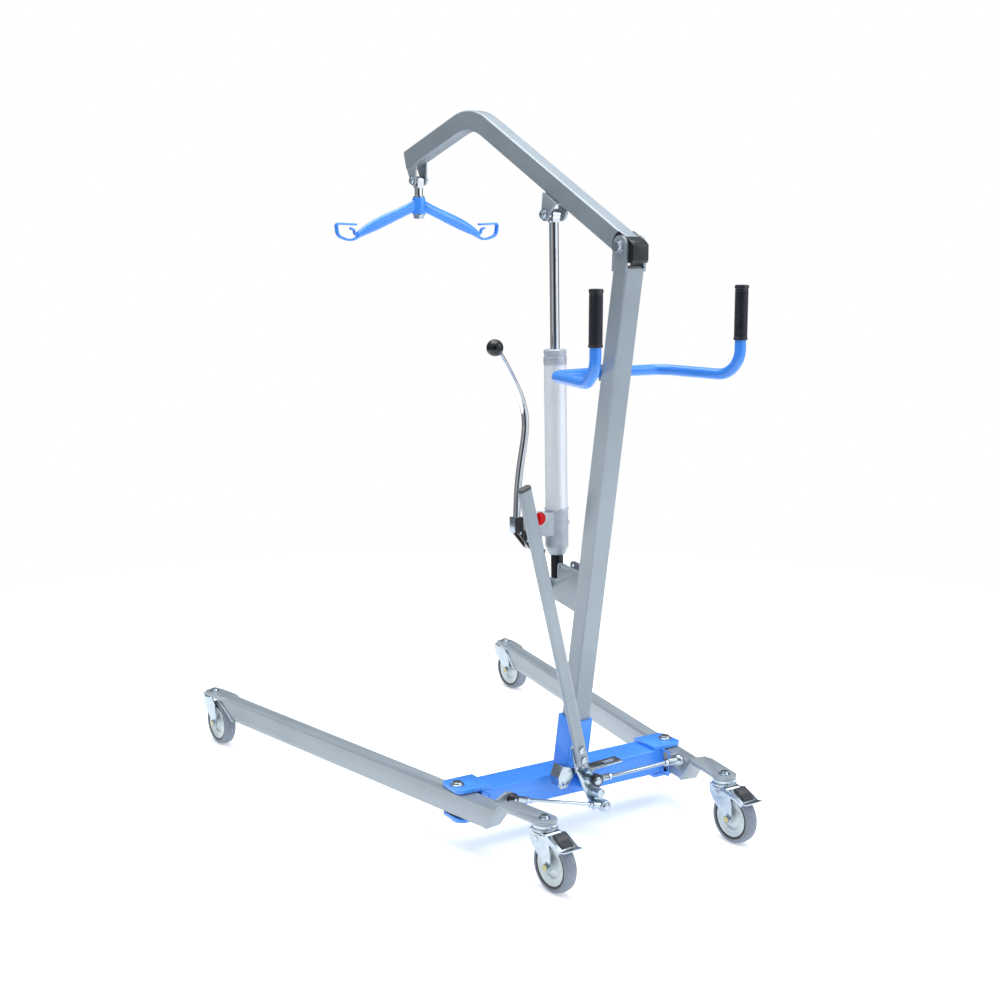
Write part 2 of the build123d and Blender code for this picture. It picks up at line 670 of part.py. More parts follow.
def make_cylinder():
    with BuildPart() as tube:
        add(turned([(TUBE_BORE, BODY_TOP - 6), (TUBE_R, BODY_TOP - 6), (TUBE_R, HEAD_LOW), (TUBE_BORE, HEAD_LOW)]))
    save(tube, "cylinder_tube")
    with BuildPart() as head:
        add(turned([(ROD_R + FIT, HEAD_LOW), (TUBE_R + 1, HEAD_LOW), (TUBE_R + 1, HEAD_TOP - 14),
                (TUBE_R - 0.5, HEAD_TOP - 13), (TUBE_R - 0.5, HEAD_TOP - 10), (TUBE_R + 0.5, HEAD_TOP - 9),
                (TUBE_R + 0.5, HEAD_TOP - 2), (TUBE_R - 1.5, HEAD_TOP), (ROD_R + FIT, HEAD_TOP)]))
    save(head, "cylinder_head")
    with BuildPart() as rod:
        add(turned([(0, PISTON_TOP), (ROD_R, PISTON_TOP), (ROD_R, CYLINDER_LENGTH - 12),
                (0, CYLINDER_LENGTH - 12)]))
        top = Plane(origin=(0, *CLEVIS), x_dir=(0, 1, 0), z_dir=(1, 0, 0))
        with BuildSketch(top.offset(-8)):
            Circle(11)
            with Locations((0, -8)):
                Rectangle(2 * ROD_R, 12)
            Circle(BOLT_R + 1, mode=Mode.SUBTRACT)
        extrude(amount=16)
    save(rod, "piston_rod")
    with BuildPart() as piston:
        add(turned([(0, PISTON_TOP - 12), (TUBE_BORE - 0.1, PISTON_TOP - 12), (TUBE_BORE - 0.1, PISTON_TOP),
                (0, PISTON_TOP)]))
    save(piston, "piston")


def make_pump_body():
    with BuildPart() as body:
        add(turned([(0, BODY_LOW), (16, BODY_LOW), (22.5, BODY_LOW + 16), (22.5, BODY_TOP - 4), (24, BODY_TOP - 2),
                (24, BODY_TOP), (TUBE_R, BODY_TOP), (TUBE_R, BODY_TOP - 6), (0, BODY_TOP - 6)]))
        # side housing for the pump and the release valve
        with BuildSketch(cylinder_front_plane()):
            with BuildLine():
                Polyline((5, 100), (32, 97), (48, 102), (68, 108), (72, 114), (72, 137), (67, 142), (5, 142),
                         close=True)
            make_face()
        extrude(amount=15, both=True)
        with BuildSketch(cylinder_front_plane()):
            with BuildLine():
                Polyline((30, 110), (52, LEVER_PIVOT[1] - 4), (72, LEVER_PIVOT[1] - 2), (72, 112), close=True)
            make_face()
            with Locations(LEVER_PIVOT):
                Circle(10)
        extrude(amount=7, both=True)
        with BuildSketch(cylinder_front_plane()):
            with Locations(LEVER_PIVOT):
                Circle(4 + FIT)
        extrude(amount=20, both=True, mode=Mode.SUBTRACT)
        # pump bore
        with BuildSketch(cylinder_plane(70, PLUNGER_X)):
            Circle(PLUNGER_R + FIT)
        extrude(amount=68, mode=Mode.SUBTRACT)
        # bleed screw on the far side
        with BuildSketch(Plane(origin=cylinder_plane(118).origin, x_dir=(0, 1, 0), z_dir=(-1, 0, 0))):
            Circle(5)
        extrude(amount=28)
        # seat of the release knob
        with BuildSketch(Plane(cylinder_front_plane().from_local_coords(Vector(*KNOB, -14)),
                               x_dir=(1, 0, 0), z_dir=-cylinder_front_plane().z_dir)):
            Circle(12)
        extrude(amount=5)
    save(body, "pump_body")


PLUNGER_X, PLUNGER_R = 41.0, 5.0


def make_pump_foot():
    with BuildPart() as foot:
        add(turned([(0, 0), (SHAFT_R, 0), (SHAFT_R, BODY_LOW), (0, BODY_LOW)]))
        with BuildSketch(Plane(origin=(-SHAFT_R, *FOOT), x_dir=(0, 1, 0), z_dir=(1, 0, 0))):
            Circle(SHAFT_R - 0.5)
        extrude(amount=2 * SHAFT_R)
        with Locations(Plane(origin=(0, *FOOT), x_dir=(0, 1, 0), z_dir=(1, 0, 0))):
            Cylinder(BOLT_R + FIT, 60, mode=Mode.SUBTRACT)
    save(foot, "pump_foot")


def make_pump_plunger():
    with BuildPart() as plunger:
        with BuildSketch(cylinder_plane(76, PLUNGER_X)):
            Circle(PLUNGER_R)
        extrude(amount=46)
    save(plunger, "pump_plunger")


def make_release_knob():
    face = Plane(cylinder_front_plane().from_local_coords(Vector(*KNOB, -19)),
                 x_dir=(1, 0, 0), z_dir=-cylinder_front_plane().z_dir)
    with BuildPart() as knob:
        with BuildSketch(face):
            Circle(16)
        extrude(amount=7, taper=4)
        with BuildSketch(face.offset(7)):
            Circle(13)
        extrude(amount=-1.5, mode=Mode.SUBTRACT)
        with BuildSketch(face.offset(5.5)):
            Rectangle(22, 5)
        extrude(amount=5)
        fillet(knob.edges().filter_by(GeomType.CIRCLE).group_by(SortBy.RADIUS)[-1], 0.8)
    save(knob, "release_knob")


LEVER_X = 93.0


def make_pump_lever():
    front = cylinder_front_plane()
    bend = [(LEVER_X, 112), (LEVER_X - 1, 180), (LEVER_X - 14, 258), (LEVER_X - 24, 315),
            (LEVER_X - 19, 365), (LEVER_X + 34, 452)]
    with BuildPart() as lever:
        with BuildLine(front) as path:
            FilletPolyline(*bend, radius=[150, 150, 60, 80])
        with BuildSketch(Plane(origin=path.line @ 0, x_dir=(1, 0, 0), z_dir=path.line % 0)):
            Circle(7)
        sweep(path=path.line)
    save(lever, "pump_lever")
    with BuildPart() as socket:
        # two cheeks on the pivot, joined by the socket block
        for low in (7.5, -11.5):
            with BuildSketch(front.offset(low)):
                with BuildLine():
                    Polyline((LEVER_PIVOT[0] - 3, LEVER_PIVOT[1] - 9), (LEVER_PIVOT[0] + 8, LEVER_PIVOT[1] - 7),
                             (92, 104), (101, 114), (101, 134), (87, 134), (84, 116),
                             (LEVER_PIVOT[0] - 6, LEVER_PIVOT[1] + 8), close=True)
                make_face()
                with BuildLine():
                    Polyline(LEVER_PIVOT, (LEVER_PIVOT[0], LEVER_PIVOT[1] - 9), (36, 62), (34, 72), close=True)
                make_face()
                with Locations(LEVER_PIVOT):
                    Circle(10)
                    Circle(4, mode=Mode.SUBTRACT)
            extrude(amount=4)
        with BuildSketch(front):
            with BuildLine():
                Polyline((84, 108), (102, 111), (102, 140), (84, 140), close=True)
            make_face()
        extrude(amount=10, both=True)
        # pad that lifts the plunger
        with BuildSketch(front):
            with Locations((PLUNGER_X, 69)):
                Circle(6.5)
        extrude(amount=8, both=True)
        with BuildSketch(front):
            with Locations(LEVER_PIVOT):
                Circle(4)
        extrude(amount=14, both=True)
        add(lever.part, mode=Mode.SUBTRACT)
    save(socket, "lever_socket")
    tip = front.from_local_coords(Vector(bend[-1][0] + 9, bend[-1][1] + 12.3, 0))
    with BuildPart() as knob:
        with Locations(tip):
            Sphere(16)
        add(lever.part, mode=Mode.SUBTRACT)
    save(knob, "lever_knob")


# =========================================================================
# Spread lever, crank and tie rods
# =========================================================================
def crank_point(along, across=0.0):
    """x and z of a point on the crank, along the lever's direction from the pivot."""
    a = radians(CRANK_TILT)
    return (CRANK[0] + along * sin(a) + across * cos(a), CRANK[1] + along * cos(a) - across * sin(a))


def crank_frame():
    """Plane of the crank: x across, y along the lever, z towards the front."""
    a = radians(CRANK_TILT)
    return Plane(origin=(CRANK[0], CRANK_Y, CRANK[1]), x_dir=(cos(a), 0, -sin(a)), z_dir=(0, -1, 0))


LEVER_STACK = {1: 6.5, -1: 12.2}        # bolt seats, behind the tube and in front of the plate
LEVER_BACK = 9.3            # lever's lean towards the operator
LEVER_ASIDE = 9.0           # lever's offset from the crank's middle


def lever_plane(along):
    """Plane across the spread lever, at a distance from the crank pivot."""
    frame = crank_frame()
    t = radians(LEVER_BACK)
    start = frame.from_local_coords(Vector(LEVER_ASIDE, 60, -(5 + 7.6)))
    direction = frame.y_dir * cos(t) - frame.z_dir * sin(t)
    return Plane(origin=start + direction * (along - 60), x_dir=frame.x_dir, z_dir=direction)


def make_crank(fasteners):
    frame = crank_frame()
    with BuildPart() as crank:
        with BuildSketch(frame):
            with BuildLine():
                Polyline((-13, -42), (13, -42), (17, 0), (14 + LEVER_ASIDE, 58), (LEVER_ASIDE - 14, 58), (-17, 0),
                         close=True)
            make_face()
            Circle(17)
            Circle(6, mode=Mode.SUBTRACT)
        extrude(amount=-5)
        # tongue that leans back with the lever
        t = radians(LEVER_BACK)
        with BuildSketch(Plane(origin=frame.from_local_coords(Vector(LEVER_ASIDE, 56, 0)), x_dir=frame.x_dir,
                               z_dir=frame.z_dir * cos(t) + frame.y_dir * sin(t))):
            with Locations((0, 27)):
                RectangleRounded(27, 56, 4)
        extrude(amount=-5)
        add(fasteners.part, mode=Mode.SUBTRACT)
    save(crank, "crank_plate")


def make_spread_lever(fasteners):
    with BuildPart() as tube:
        with BuildSketch(lever_plane(68)):
            RectangleRounded(26, 13, 6)
            RectangleRounded(22, 9, 4, mode=Mode.SUBTRACT)
        extrude(amount=606)
        add(fasteners.part, mode=Mode.SUBTRACT)
    save(tube, "spread_lever")
    with BuildPart() as cap:
        with BuildSketch(lever_plane(674)):
            RectangleRounded(26.5, 13.5, 6)
        extrude(amount=5)
        fillet(cap.faces().sort_by(Axis.Z)[-1].edges(), 2)
        with BuildSketch(lever_plane(656)):
            RectangleRounded(21.9, 8.9, 4)
        extrude(amount=18)
    save(cap, "spread_lever_cap")


def make_crank_fasteners():
    frame = crank_frame()
    with BuildPart() as bits:
        # pivot nut and washer
        with BuildSketch(along_y(CRANK[0], CRANK_Y - 40, CRANK[1])):
            Circle(6)
        extrude(amount=40 + 22)
        with BuildSketch(along_y(CRANK[0], CRANK_Y + 5, CRANK[1])):
            Circle(11)
        extrude(amount=2)
        with BuildSketch(along_y(CRANK[0], CRANK_Y + 7, CRANK[1])):
            RegularPolygon(10.5, 6)
        extrude(amount=9)
        with BuildSketch(along_y(CRANK[0], CRANK_Y + 16, CRANK[1])):
            Circle(8.5)
        extrude(amount=16)
        # studs of the two rod ends, each stopping short of its housing
        for side in (-1, 1):
            x, z = crank_point(side * CRANK_R)
            with BuildSketch(along_y(x, CRANK_Y + 5, z)):
                RegularPolygon(7, 6)
            extrude(amount=5)
            with BuildSketch(along_y(x, CRANK_Y, z)):
                Circle(5)
            extrude(amount=BALL_Y - 10.5 - CRANK_Y)
        # lever bolts
        for along in (80, 104):
            across = lever_plane(along)
            with BuildSketch(Plane(origin=across.origin, x_dir=across.x_dir, z_dir=across.y_dir)):
                Circle(4)
            extrude(amount=9.5, both=True)
            for side in (-1, 1):
                with BuildSketch(Plane(origin=across.origin + across.y_dir * (side * LEVER_STACK[side]),
                                       x_dir=across.x_dir, z_dir=across.y_dir * side)):
                    Circle(7)
                extrude(amount=3.5)
    save(bits, "crank_fasteners")
    return bits


def leg_ball(side):
    return Vector(side * LEG_BALL[0], PIVOT_Y + LEG_BALL[1], LEG_BALL[2])


def make_tie_rod(side, name):
    """Threaded rod with a rod end at the crank and a ball socket at the leg."""
    x, z = crank_point(side * -CRANK_R)
    inner = Vector(x, BALL_Y, z)
    outer = leg_ball(side)
    run = (outer - inner).normalized()
    with BuildPart() as rod:
        with BuildSketch(Plane(origin=inner, z_dir=run)):
            Circle(3.5)
        extrude(amount=(outer - inner).length)
        for start, step in ((inner, run), (outer, run * -1)):
            with BuildSketch(Plane(origin=start + step * 6, z_dir=step)):
                Circle(6.5)
            extrude(amount=22)
            with BuildSketch(Plane(origin=start + step * 30, z_dir=step)):
                RegularPolygon(6.6, 6)
            extrude(amount=6)
        with BuildSketch(along_y(inner.X, BALL_Y - 10, inner.Z)):
            Circle(11)
        extrude(amount=18)
        fillet(rod.edges().filter_by(GeomType.CIRCLE).group_by(SortBy.RADIUS)[-1], 2)
        with Locations(outer):
            Sphere(11)
        # ball cavity, open towards the lug in front
        with Locations(outer):
            Sphere(BALL_R + FIT, mode=Mode.SUBTRACT)
        with BuildSketch(Plane(origin=outer, x_dir=(1, 0, 0), z_dir=(0, -1, 0))):
            Circle(6.3)
        extrude(amount=14, mode=Mode.SUBTRACT)
    save(rod, name)


# =========================================================================
# Legs and casters
# =========================================================================
def leg_plane(side, z=0.0):
    """Plan-view plane of a leg: origin at its pivot, y towards the rear caster."""
    a = radians(SPLAY * side)
    return Plane(origin=(side * PIVOT_X, PIVOT_Y, z), x_dir=(cos(a), sin(a), 0), z_dir=(0, 0, 1))


def leg_side_plane(side):
    """Side-view plane of a leg: x towards the rear caster, y up."""
    base = leg_plane(side)
    return Plane(origin=base.origin, x_dir=base.y_dir, z_dir=base.x_dir)


REAR_CUT = (93.0, 131.0)    # where the tube's sloping rear cut meets its bottom and its top
FRONT_CUT = (-743.0, -816.0)


def make_leg(side, name):
    low, top = LEG_Z, LEG_TOP
    with BuildPart() as leg:
        with BuildSketch(leg_side_plane(side)):
            with BuildLine():
                Polyline((REAR_CUT[1], top), (REAR_CUT[0], low), (FRONT_CUT[0], low), (FRONT_CUT[1], top),
                         close=True)
            make_face()
        extrude(amount=LEG_W / 2, both=True)
        fillet(leg.edges().filter_by(Axis(leg_plane(side).origin, leg_plane(side).y_dir)), 3)
        with BuildSketch(leg_side_plane(side)):
            with BuildLine():
                Polyline((REAR_CUT[1], top - LEG_WALL), (REAR_CUT[0], low + LEG_WALL),
                         (FRONT_CUT[0], low + LEG_WALL), (FRONT_CUT[1], top - LEG_WALL), close=True)
            make_face()
        extrude(amount=LEG_W / 2 - LEG_WALL, both=True, mode=Mode.SUBTRACT)
        # front plate, flush with the top, and the sloping end plate below it
        with BuildSketch(leg_plane(side, FRONT_PLATE_Z)):
            with BuildLine():
                Polyline((-21, -LEG_FRONT), (21, -LEG_FRONT), (23, -796), (17.5, -776), (-17.5, -776),
                         (-23, -796), close=True)
            make_face()
            with Locations((0, -LEG_FRONT)):
                Circle(21)
        extrude(amount=PLATE_T)
        with BuildSketch(leg_side_plane(side)):
            with BuildLine():
                Polyline((FRONT_CUT[1] + 8, top - 3), (FRONT_CUT[0], low - 1), (FRONT_CUT[0] - 5, low - 1),
                         (FRONT_CUT[1] + 2, top - 3), close=True)
            make_face()
        extrude(amount=21, both=True)
        # rear plate: a raised tongue, and a strip bent down over the sloping cut
        with BuildSketch(leg_side_plane(side)):
            with BuildLine():
                Polyline((150, REAR_PLATE_Z), (150, REAR_PLATE_Z + PLATE_T), (134, REAR_PLATE_Z + PLATE_T),
                         (124, top - 1), (REAR_CUT[1] - 3, top - 1), (REAR_CUT[0], low), (REAR_CUT[0] + 8, low),
                         (REAR_CUT[1] + 8, REAR_PLATE_Z), close=True)
            make_face()
        extrude(amount=LEG_W / 2, both=True)
        with BuildSketch(leg_plane(side, REAR_PLATE_Z)):
            with BuildLine():
                Polyline((-17.5, 140), (17.5, 140), (23, 152), (23, LEG_REAR), (-23, LEG_REAR), (-23, 152),
                         close=True)
            make_face()
            with Locations((0, LEG_REAR)):
                Circle(23)
        extrude(amount=PLATE_T)
        # holes: pivot bush and caster bolts
        with BuildSketch(leg_plane(side, LEG_Z - 10)):
            Circle(BUSH_R + FIT)
        extrude(amount=80, mode=Mode.SUBTRACT)
        with BuildSketch(leg_plane(side, LEG_Z)):
            with Locations((0, -LEG_FRONT), (0, LEG_REAR)):
                Circle(6)
        extrude(amount=80, mode=Mode.SUBTRACT)
        # lug for the tie rod, standing on the inner side of the leg
        ball = leg_ball(side)
        inner_x = side * (PIVOT_X - (LEG_BALL[1] - 14) * tan(radians(SPLAY)))
        with BuildSketch(Plane(origin=(0, ball.Y - 16, 0), x_dir=(side, 0, 0), z_dir=(0, -side, 0))):
            with BuildLine():
                Polyline((abs(inner_x) - 10, LEG_TOP - 1), (abs(inner_x) - 10, LEG_TOP + 4),
                         (LEG_BALL[0] + 4, LEG_BALL[2] + 9), (LEG_BALL[0] - 8, LEG_BALL[2] + 7),
                         (LEG_BALL[0] - 9, LEG_BALL[2] - 8), (abs(inner_x) - 17, LEG_TOP - 26), close=True)
            make_face()
        extrude(amount=2.5, both=True)
        with BuildSketch(Plane(origin=(ball.X, ball.Y - 22, ball.Z), x_dir=(1, 0, 0), z_dir=(0, 1, 0))):
            Circle(3.5)
        extrude(amount=12, mode=Mode.SUBTRACT)
    save(leg, name)


def make_leg_fasteners(side, name):
    """Caster bolts, upper races and the ball stud of one leg."""
    with BuildPart() as bits:
        for along, seat, drop in ((-LEG_FRONT, FRONT_PLATE_Z, 0.0), (LEG_REAR, REAR_PLATE_Z, RACE_H)):
            with BuildSketch(leg_plane(side, seat + PLATE_T)):
                with Locations((0, along)):
                    Circle(11)
            extrude(amount=1.5)
            with BuildSketch(leg_plane(side, seat + PLATE_T + 1.5)):
                with Locations((0, along)):
                    Circle(9)
            extrude(amount=4.5, taper=25)
            with BuildSketch(leg_plane(side, seat + PLATE_T)):
                with Locations((0, along)):
                    Circle(6)
            extrude(amount=-PLATE_T - drop - 3)
            if drop:
                with BuildSketch(leg_plane(side, seat)):
                    with Locations((0, along)):
                        Circle(22)
                extrude(amount=-drop)
                with BuildSketch(leg_plane(side, seat - drop)):
                    with Locations((0, along)):
                        Circle(23.5)
                extrude(amount=3.5)
        ball = leg_ball(side)
        with Locations(ball):
            Sphere(BALL_R)
        with BuildSketch(Plane(origin=(ball.X, ball.Y - 22, ball.Z), x_dir=(1, 0, 0), z_dir=(0, 1, 0))):
            Circle(3.5)
        extrude(amount=20)
        with BuildSketch(Plane(origin=(ball.X, ball.Y - 18.5, ball.Z), x_dir=(1, 0, 0), z_dir=(0, -1, 0))):
            RegularPolygon(6.5, 6)
        extrude(amount=4)
    save(bits, name)


def caster_frame(side, along, direction):
    """Plan-view plane of a caster on the floor: x is its trail direction."""
    a = radians(SPLAY * side)
    x = side * PIVOT_X - along * sin(a)
    y = PIVOT_Y + along * cos(a)
    d = radians(direction)
    return Plane(origin=(x, y, 0), x_dir=(cos(d), sin(d), 0), z_dir=(0, 0, 1))


def make_caster(frame, top, name):
    """Fork, rim and tyre.  top is the height of the fork's crown."""
    side_view = Plane(origin=frame.origin, x_dir=frame.x_dir, z_dir=-frame.y_dir)
    axle = (TRAIL, WHEEL_R)
    with BuildPart() as fork:
        with BuildSketch(side_view):
            with BuildLine():
                Polyline((-22, top), (23, top), (36, top - 14), (TRAIL + 8, WHEEL_R + 22),
                         (TRAIL + 9, WHEEL_R), (TRAIL - 9, WHEEL_R), (-12, top - 30), (-21, top - 14), close=True)
            make_face()
            with Locations(axle):
                Circle(9)
        extrude(amount=18.5, both=True)
        # inside of the fork, open below
        with BuildSketch(side_view):
            with BuildLine():
                Polyline((-40, top - 3), (60, top - 3), (60, 20), (-40, 20), close=True)
            make_face()
        extrude(amount=16, both=True, mode=Mode.SUBTRACT)
        # bearing hole, then the axle with its two nuts
        with BuildSketch(frame.offset(top - 10)):
            Circle(6 + FIT)
        extrude(amount=20, mode=Mode.SUBTRACT)
        with BuildSketch(side_view):
            with Locations(axle):
                Circle(4)
        extrude(amount=22, both=True)
        for out in (-1, 1):
            with BuildSketch(side_view.offset(out * 18.5)):
                with Locations(axle):
                    RegularPolygon(7, 6)
            extrude(amount=out * 5)
    save(fork, name + "_fork")
    spin = Axis(side_view.from_local_coords(Vector(*axle, 0)), side_view.z_dir)
    hub_plane = Plane(origin=spin.position, x_dir=(0, 0, 1), z_dir=frame.x_dir)

    def turned_wheel(points):
        with BuildPart(mode=Mode.PRIVATE) as solid:
            with BuildSketch(hub_plane):
                with BuildLine():
                    Polyline(*points, close=True)
                make_face()
            revolve(axis=spin)
        return solid.part

    half = WHEEL_W / 2
    with BuildPart() as rim:
        add(turned_wheel([(4 + FIT, -15.5), (9, -15.5), (10, -9), (27, -6), (33, -half + 1), (RIM_R, -half + 1),
                       (RIM_R, half - 1), (33, half - 1), (27, 6), (10, 9), (9, 15.5), (4 + FIT, 15.5)]))
    save(rim, name + "_rim")
    with BuildPart() as tyre:
        add(turned_wheel([(RIM_R, -half + 1), (42, -half), (46, -half + 0.6), (48.8, -half + 4), (49.8, -half + 8),
                       (WHEEL_R, 0), (49.8, half - 8), (48.8, half - 4), (46, half - 0.6), (42, half),
                       (RIM_R, half - 1)]))
    save(tyre, name + "_tyre")


def make_brake_pedal(frame, name):
    """Zinc pedal with a raised pad, hinged on the fork's crown."""
    side_view = Plane(origin=frame.origin, x_dir=frame.x_dir, z_dir=-frame.y_dir)
    with BuildPart() as pedal:
        for out in (-1, 1):
            with BuildSketch(side_view.offset(out * 19)):
                with BuildLine():
                    Polyline((-3, 99), (14, 104), (28, 107), (34, 108), (69, 92), (67, 84), (32, 97), (2, 89),
                             close=True)
                make_face()
            extrude(amount=out * 2)
        with BuildSketch(side_view):
            with BuildLine():
                Polyline((34, 109), (70, 92), (82, 94), (82, 91.5), (70, 89), (34, 106.5), close=True)
            make_face()
        extrude(amount=21, both=True)
        with BuildSketch(side_view):
            with BuildLine():
                Polyline((36, 108), (40, 112), (50, 109.5), (54, 104), (66, 98.5), (67, 93), close=True)
            make_face()
        extrude(amount=12, both=True)
        for out in (-1, 1):
            with BuildSketch(side_view.offset(out * 21)):
                with Locations(PEDAL_PIVOT):
                    Circle(3.5)
            extrude(amount=out * 1.5)
    save(pedal, name)


def main():
    make_crossbar()
    make_mast_socket()
    make_socket_screws()
    make_mast()
    make_mast_top_cap()
    make_boom_pivot_bolt()
    make_pump_bracket()
    make_foot_pivot_bolt()
    make_leg_pivots()
    make_stop_plate()
    make_push_handle()
    make_handle_saddle()
    make_handle_grips()
    boom = make_boom()
    make_boom_end_cap(boom)
    make_boom_clevis()
    make_hanger_lugs()
    make_hanger_pin()
    make_spreader()
    make_cylinder()
    make_pump_body()
    make_pump_foot()
    make_pump_plunger()
    make_release_knob()
    make_pump_lever()
    fasteners = make_crank_fasteners()
    make_crank(fasteners)
    make_spread_lever(fasteners)
    for side, hand in ((1, "left"), (-1, "right")):
        make_tie_rod(side, hand + "_tie_rod")
        make_leg(side, hand + "_leg")
        make_leg_fasteners(side, hand + "_leg_fasteners")
        rear = caster_frame(side, LEG_REAR, REAR_TRAIL_DIR)
        front = caster_frame(side, -LEG_FRONT, FRONT_TRAIL_DIR)
        make_caster(rear, REAR_PLATE_Z - RACE_H - 0.2, hand + "_rear_caster")
        make_caster(front, FRONT_PLATE_Z - 0.2, hand + "_front_caster")
        make_brake_pedal(rear, hand + "_brake_pedal")


main()
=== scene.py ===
"""Looks of the patient lift hoist: finishes, fine meshes, light and camera.

Everything is in metres, in the row frame: +Z up, +Y towards the operator, +X the operator's left.
"""

import json
from math import cos, hypot, pi, radians, sin

import bmesh
import bpy
from mathutils import Matrix, Vector

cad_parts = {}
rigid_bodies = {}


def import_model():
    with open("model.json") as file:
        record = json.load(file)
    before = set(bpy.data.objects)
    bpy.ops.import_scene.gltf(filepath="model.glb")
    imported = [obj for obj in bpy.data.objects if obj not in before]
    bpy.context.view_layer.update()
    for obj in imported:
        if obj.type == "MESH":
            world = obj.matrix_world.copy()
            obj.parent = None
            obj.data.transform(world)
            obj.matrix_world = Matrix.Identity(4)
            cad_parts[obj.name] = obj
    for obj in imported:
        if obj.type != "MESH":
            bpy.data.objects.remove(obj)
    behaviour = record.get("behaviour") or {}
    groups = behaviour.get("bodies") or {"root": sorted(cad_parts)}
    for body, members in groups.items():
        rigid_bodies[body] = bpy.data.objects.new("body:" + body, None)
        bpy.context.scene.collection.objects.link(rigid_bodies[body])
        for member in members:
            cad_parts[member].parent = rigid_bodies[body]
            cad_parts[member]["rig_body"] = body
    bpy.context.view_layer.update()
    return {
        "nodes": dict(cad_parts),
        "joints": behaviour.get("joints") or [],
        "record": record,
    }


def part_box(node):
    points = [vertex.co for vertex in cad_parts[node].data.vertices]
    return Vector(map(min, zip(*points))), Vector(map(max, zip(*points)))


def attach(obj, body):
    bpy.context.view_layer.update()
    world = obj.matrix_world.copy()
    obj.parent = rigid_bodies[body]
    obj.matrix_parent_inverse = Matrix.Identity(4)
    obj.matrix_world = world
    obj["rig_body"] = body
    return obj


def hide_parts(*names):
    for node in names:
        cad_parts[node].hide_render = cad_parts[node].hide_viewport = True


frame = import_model()
JOINTS = {joint["name"]: joint for joint in frame["joints"]}
NODE_SLOT = {part["node"]: part["material_slot"] for part in frame["record"]["subparts"]}
MM = 0.001
BEVEL_ANGLE = 30          # degrees: a CAD edge sharper than this gets a bevel


# ---------------------------------------------------------------- finishes
def rgb(red, green, blue):
    """Linear colour from 0-255 display values."""
    def linear(value):
        value /= 255
        return value / 12.92 if value <= 0.04045 else ((value + 0.055) / 1.055) ** 2.4
    return (linear(red), linear(green), linear(blue), 1.0)


class Finish:
    """A Principled material with helpers for procedural detail."""

    def __init__(self, name, colour, rough, metal=0.0, coat=0.0, specular=0.5):
        self.material = bpy.data.materials.new(name)
        self.material.use_nodes = True
        self.nodes = self.material.node_tree.nodes
        self.links = self.material.node_tree.links
        self.shader = self.nodes["Principled BSDF"]
        self.colour = colour
        self.rough = rough
        self.shader.inputs["Base Color"].default_value = colour
        self.shader.inputs["Roughness"].default_value = rough
        self.shader.inputs["Metallic"].default_value = metal
        self.shader.inputs["Coat Weight"].default_value = coat
        self.shader.inputs["Coat Roughness"].default_value = 0.08
        self.shader.inputs["Specular IOR Level"].default_value = specular
        self.place = self.nodes.new("ShaderNodeTexCoord").outputs["Object"]
        self.normal = None

    def noise(self, scale, detail=3.0, stretch=(1, 1, 1)):
        mapping = self.nodes.new("ShaderNodeMapping")
        mapping.inputs["Scale"].default_value = stretch
        self.links.new(self.place, mapping.inputs["Vector"])
        texture = self.nodes.new("ShaderNodeTexNoise")
        texture.inputs["Scale"].default_value = scale
        texture.inputs["Detail"].default_value = detail
        self.links.new(mapping.outputs["Vector"], texture.inputs["Vector"])
        return texture.outputs["Fac"]

    def ramp(self, value, low, high):
        """Value mapped from 0.35..0.65 onto low..high."""
        span = self.nodes.new("ShaderNodeMapRange")
        span.inputs["From Min"].default_value = 0.35
        span.inputs["From Max"].default_value = 0.65
        span.inputs["To Min"].default_value = low
        span.inputs["To Max"].default_value = high
        self.links.new(value, span.inputs["Value"])
        return span.outputs["Result"]

    def mottle(self, value, darker, lighter):
        """Base colour that varies between two multiples of itself."""
        mix = self.nodes.new("ShaderNodeMix")
        mix.data_type = "RGBA"
        mix.inputs["A"].default_value = (*(c * darker for c in self.colour[:3]), 1)
        mix.inputs["B"].default_value = (*(min(1, c * lighter) for c in self.colour[:3]), 1)
        self.links.new(self.ramp(value, 0, 1), mix.inputs["Factor"])
        self.tint = mix.outputs["Result"]
        self.links.new(self.tint, self.shader.inputs["Base Color"])
        return self

    def painted_edge_highlight(self, colour, amount):
        """Painted highlight: convex edges turn towards a lighter colour, as light caught on a rounded
        edge.
        """
        point = self.nodes.new("ShaderNodeNewGeometry").outputs["Pointiness"]
        span = self.nodes.new("ShaderNodeMapRange")
        span.inputs["From Min"].default_value = 0.52
        span.inputs["From Max"].default_value = 0.62
        span.inputs["To Max"].default_value = amount
        self.links.new(point, span.inputs["Value"])
        mix = self.nodes.new("ShaderNodeMix")
        mix.data_type = "RGBA"
        self.links.new(self.tint, mix.inputs["A"])
        mix.inputs["B"].default_value = colour
        self.links.new(span.outputs["Result"], mix.inputs["Factor"])
        self.links.new(mix.outputs["Result"], self.shader.inputs["Base Color"])
        return self

    def vary_rough(self, value, spread):
        rough = self.ramp(value, self.rough - spread, self.rough + spread)
        self.links.new(rough, self.shader.inputs["Roughness"])
        return self

    def bump(self, value, strength, depth):
        node = self.nodes.new("ShaderNodeBump")
        node.inputs["Strength"].default_value = strength
        node.inputs["Distance"].default_value = depth
        self.links.new(value, node.inputs["Height"])
        if self.normal:
            self.links.new(self.normal, node.inputs["Normal"])
        self.normal = node.outputs["Normal"]
        self.links.new(self.normal, self.shader.inputs["Normal"])
        return self


